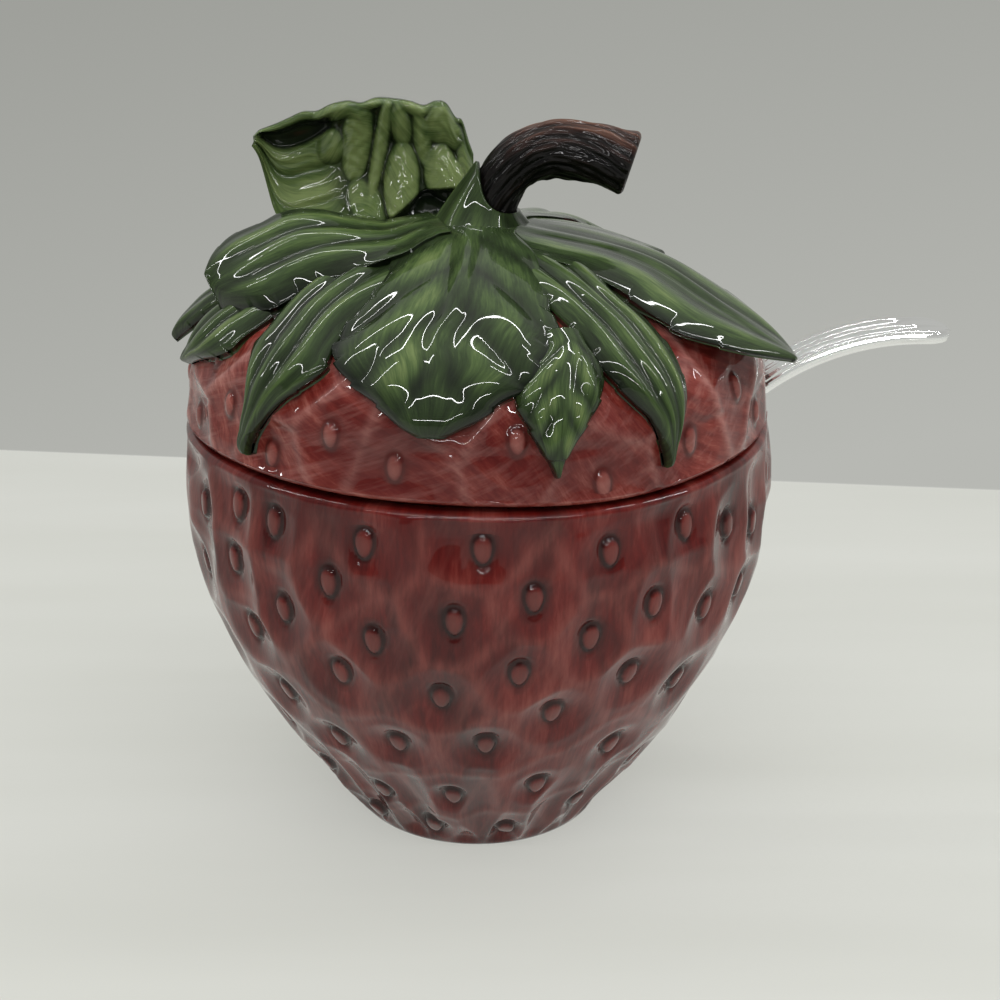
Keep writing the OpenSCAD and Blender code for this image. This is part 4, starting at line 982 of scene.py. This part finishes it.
def makeCrown(s):
    m = s["columns"]
    part = np.linspace(0, 1, s["rows"] + 1)[:, None]
    turn = (np.arange(m) * tau / m)[None, :]
    sheath = bell(nearTurn(turn - math.radians(s["sheathTurn"])), math.radians(s["sheathSpread"]))
    radius = s["radius"] + (s["neck"] - s["radius"]) * part ** 0.85 + 0 * turn
    flare = part ** 1.7
    foot = s["top"] + s["rise"]
    neckTop = foot + s["sheathHeight"] * sheath
    height = (s["top"] - radius ** 2 / 2 / s["domeRadius"] + 0.7) * (1 - flare) + neckTop * flare
    rib = s["ribRise"] * bell(nearTurn(turn - math.radians(s["ribTurn"])), 0.2)
    rib = rib * np.sin(math.pi * np.clip(part * 1.1, 0, 1))
    folds = s["foldRise"] * np.cos(turn * s["foldCount"] + 0.4 + 2 * part) * np.sin(math.pi * part)
    climb = np.clip(height - foot, 0, 20) / s["sheathHeight"]
    shift = s["out"] * part ** 0.7 + s["sheathShift"] * climb ** 1.5
    aim = math.radians(s["turn"])
    outer = ringPlace(radius + folds + rib, turn, height) + ringPlace(shift, aim, 0)
    # The sheath turns over a thin lip and goes down again inside
    lip = s["neck"] - s["lipWall"]
    inner = ringPlace(lip, turn, neckTop - 0.1) + ringPlace(s["out"] + s["sheathShift"] * sheath ** 1.5, aim, 0)
    floor = ringPlace(0.6 * lip, turn, foot - 0.9) + ringPlace(s["out"], aim, 0)
    place = np.concatenate([outer, inner, floor])
    brush = np.stack(np.broadcast_arrays(turn * 9, part * 9, 3), -1).reshape(-1, 3)
    brush = np.concatenate([brush, brush[-2 * m:]])
    # Painted light: paler on the crests of the folds and on the rib; inside the lip the tone is low
    crest = np.concatenate([(0.4 + 2.0 * folds + rib).ravel(), np.full(2 * m, 0.2)])
    # Painted shade: darker partway up the crown away from the sheath, and dark inside the lip
    deep = 0.3 * smoothStep(0.2, 0.5, part) * (1 - sheath) * smoothStep(1, 0.8, part)
    deep = np.concatenate([deep.ravel(), np.full(2 * m, 0.8)])
    faces = tube(len(place), m)
    makePiece("leafCrown", place.reshape(-1, 3), faces, leafGlaze, "lid", ["crown"], {
        "brush": brush, "crest": np.clip(crest, 0, 1), "deep": deep})


stemSizes = {
    "turn": -8, "out": 2.4, "foot": 106.7, "rootRadius": 3.9, "endRadius": 5.0, "rise": 10.4, "reach": 22.8,
    "leanShare": 0.1, "bendShare": 0.5, "topShare": 1.12, "fallShare": 0.78,
    "rings": 110, "sides": 120, "grooves": 11, "grooveDepth": 0.24,
}


def makeStem(s):
    shares = [(0, 0), (s["leanShare"], s["topShare"]), (s["bendShare"], s["topShare"]), (1, s["fallShare"])]
    pull = np.array(shares) * (s["reach"], s["rise"])
    n, m = s["rings"], s["sides"]
    # The last rings close the cut end: their size as a share, and how far each is pushed out
    t = np.concatenate([np.linspace(0, 1, n + 1), np.ones(5)])[:, None]
    close = np.concatenate([np.ones(n - 1), [0.98, 0.93, 0.84, 0.7, 0.5, 0.3, 0.04]])[:, None]
    push = np.concatenate([np.zeros(n + 1), [0.25, 0.15, -0.05, 0.1, 0.0]])[:, None]
    at = pull[1] * 3 * t * (1 - t) ** 2 + pull[2] * 3 * t ** 2 * (1 - t) + pull[3] * t ** 3
    pull = np.diff(pull, axis=0)
    way = pull[0] * (1 - t) ** 2 + pull[1] * 2 * t * (1 - t) + pull[2] * t ** 2
    way[0] = (0, 1)
    way /= np.linalg.norm(way, axis=1)[:, None]
    at = at + way * push
    at[:3, 1] -= (0.9, 0.5, 0.2)  # the root sinks into the crown
    angle = np.arange(m) * tau / m
    twist = angle + 0.22 * np.sin(7 * t) + 0.35 * t
    bark = (np.cos(s["grooves"] * twist + 2.2 * np.sin(5 * t)) * 0.5 + 0.4 * np.cos(4 * twist + 9 * t)
            + np.cos((s["grooves"] * 2 + 1) * twist + 7 * t) * 0.35
            + 0.3 * np.cos(17 * twist - 15 * t) * np.cos(23 * t))
    knots = (0.3 * bell(t - 0.6, 0.06) * np.cos(angle - 0.6) + 0.3 * bell(t - 0.86, 0.07) * np.cos(angle + 0.4)
             + 0.25 * bell(t - 1.0, 0.05))
    radius = s["rootRadius"] + (s["endRadius"] - s["rootRadius"]) * t
    radius = (radius + s["grooveDepth"] * bark * close + knots) * close
    x = at[:, :1] - way[:, 1:] * radius * np.cos(angle) + s["out"]
    y = radius * np.sin(angle)
    z = at[:, 1:] + way[:, :1] * radius * np.cos(angle) + s["foot"]
    c, d = math.cos(math.radians(s["turn"])), math.sin(math.radians(s["turn"]))
    place = np.stack([x * c - y * d, x * d + y * c, z], -1).reshape(-1, 3)
    length = np.cumsum(np.concatenate([[0], np.linalg.norm(np.diff(at, axis=0), axis=1)]))[:, None]
    brush = ringPlace(9, twist, length * 2).reshape(-1, 3)
    # Painted light: the upper side of the stem is painted paler, as if lit from above
    upper = np.cos(angle) * smoothStep(0.15, 0.5, t)
    crest = np.clip(0.24 + 0.26 * bark + 0.6 * np.clip(upper, 0, 1), 0, 1).ravel()
    makePiece("stemKnob", place, tube(len(t), m), barkGlaze, "lid", ["stem"], {
        "brush": brush, "crest": crest})


makeCrown(crownSizes)
makeStem(stemSizes)
print("crown and stem made")


# Spoon: moulded in one piece, three ribs along its handle

spoonSizes = {
    "handleWidth": 10, "neckWidth": 6.4, "handleThick": 2.4, "grooveDepth": 0.7, "bend": 43, "slope": 58,
    "endFall": 7, "bowlLength": 30, "bowlHalf": 10.5, "bowlDepth": 4.4, "bowlWall": 1.5,
    "centre": (74.6, 42.912), "floorGap": 6.8, "rows": 260, "columns": 72,
    "bowl": [(0, 0), (0.12, 0.2), (0.24, 0.56), (0.36, 0.84), (0.5, 0.98), (0.62, 1), (0.76, 0.92),
             (0.87, 0.74), (0.95, 0.5), (1, 0.16)],
    # From the handle's middle to its edge: share of the grooves' depth between the ribs
    "grooves": [(0, 0), (0.14, 0), (0.28, 1), (0.6, 1), (0.8, 0), (1, 0)],
}


def makeSpoon(s):
    cx, cz = s["centre"]
    bent = s["bend"] * math.radians(s["slope"] + s["endFall"])
    slope = math.radians(s["slope"])
    foot = (cx - s["bend"] * math.sin(slope), cz + s["bend"] * math.cos(slope))
    total = bent + (foot[1] - s["floorGap"]) / math.sin(slope)
    u = (total * np.linspace(0, 1, s["rows"] + 1))[:, None]
    w = np.linspace(-1, 1, s["columns"] + 1)[None, :]
    turn = np.where(u < bent, math.radians(s["endFall"]) - u / s["bend"], -slope)
    spine = np.stack([cx + s["bend"] * np.sin(turn) - np.maximum(u - bent, 0) * np.cos(turn),
                      cz + s["bend"] * np.cos(turn) + np.maximum(u - bent, 0) * np.sin(turn)], -1)
    half, neck = s["handleWidth"] / 2, s["neckWidth"] / 2
    into = np.clip((u - total + s["bowlLength"]) / s["bowlLength"], 0, 1)
    wide = curveThrough(s["bowl"], into, 1)
    part = np.clip((u - half) / (total - s["bowlLength"] - half), 0, 1)
    width = np.where(into > 0, neck * (1 - wide) + s["bowlHalf"] * wide, half * (1 - part) + neck * part)
    end = np.maximum(roundOff(u / half), 0.02 ** 0.5)
    tip = np.maximum(roundOff((1 - into) / 0.1), 0.03 ** 0.5)
    width = width * end * tip
    plain = np.clip(u / half / 2, 0, 1) * np.clip(1 - 4 * into, 0, 1)
    grooves = np.interp(np.abs(w), *zip(*s["grooves"]))
    depth = s["bowlDepth"] * np.sin(math.pi * into) ** 0.6 * (1 - w ** 2)
    thick = np.maximum(s["bowlWall"], s["handleThick"] - (s["handleThick"] - s["bowlWall"]) * 4 * into)
    rounded = roundOff((1 - np.abs(w)) / 0.14) * np.minimum(end, tip) ** 0.5
    thick = thick / 2 * (0.25 + 0.75 * rounded)
    over = -depth - s["grooveDepth"] * plain * grooves + thick
    under = -depth - thick

    def spot(h):
        x, z = spine[..., 0] + h * np.sin(turn), spine[..., 1] + h * np.cos(turn)
        return np.stack([x, -w * width, z], -1)
    place, faces = sheet(spot(over), spot(under))
    makePiece("jamSpoon", place, flipped(faces), clearAcrylic, "spoon", ["spoon"])


makeSpoon(spoonSizes)
print("spoon made")
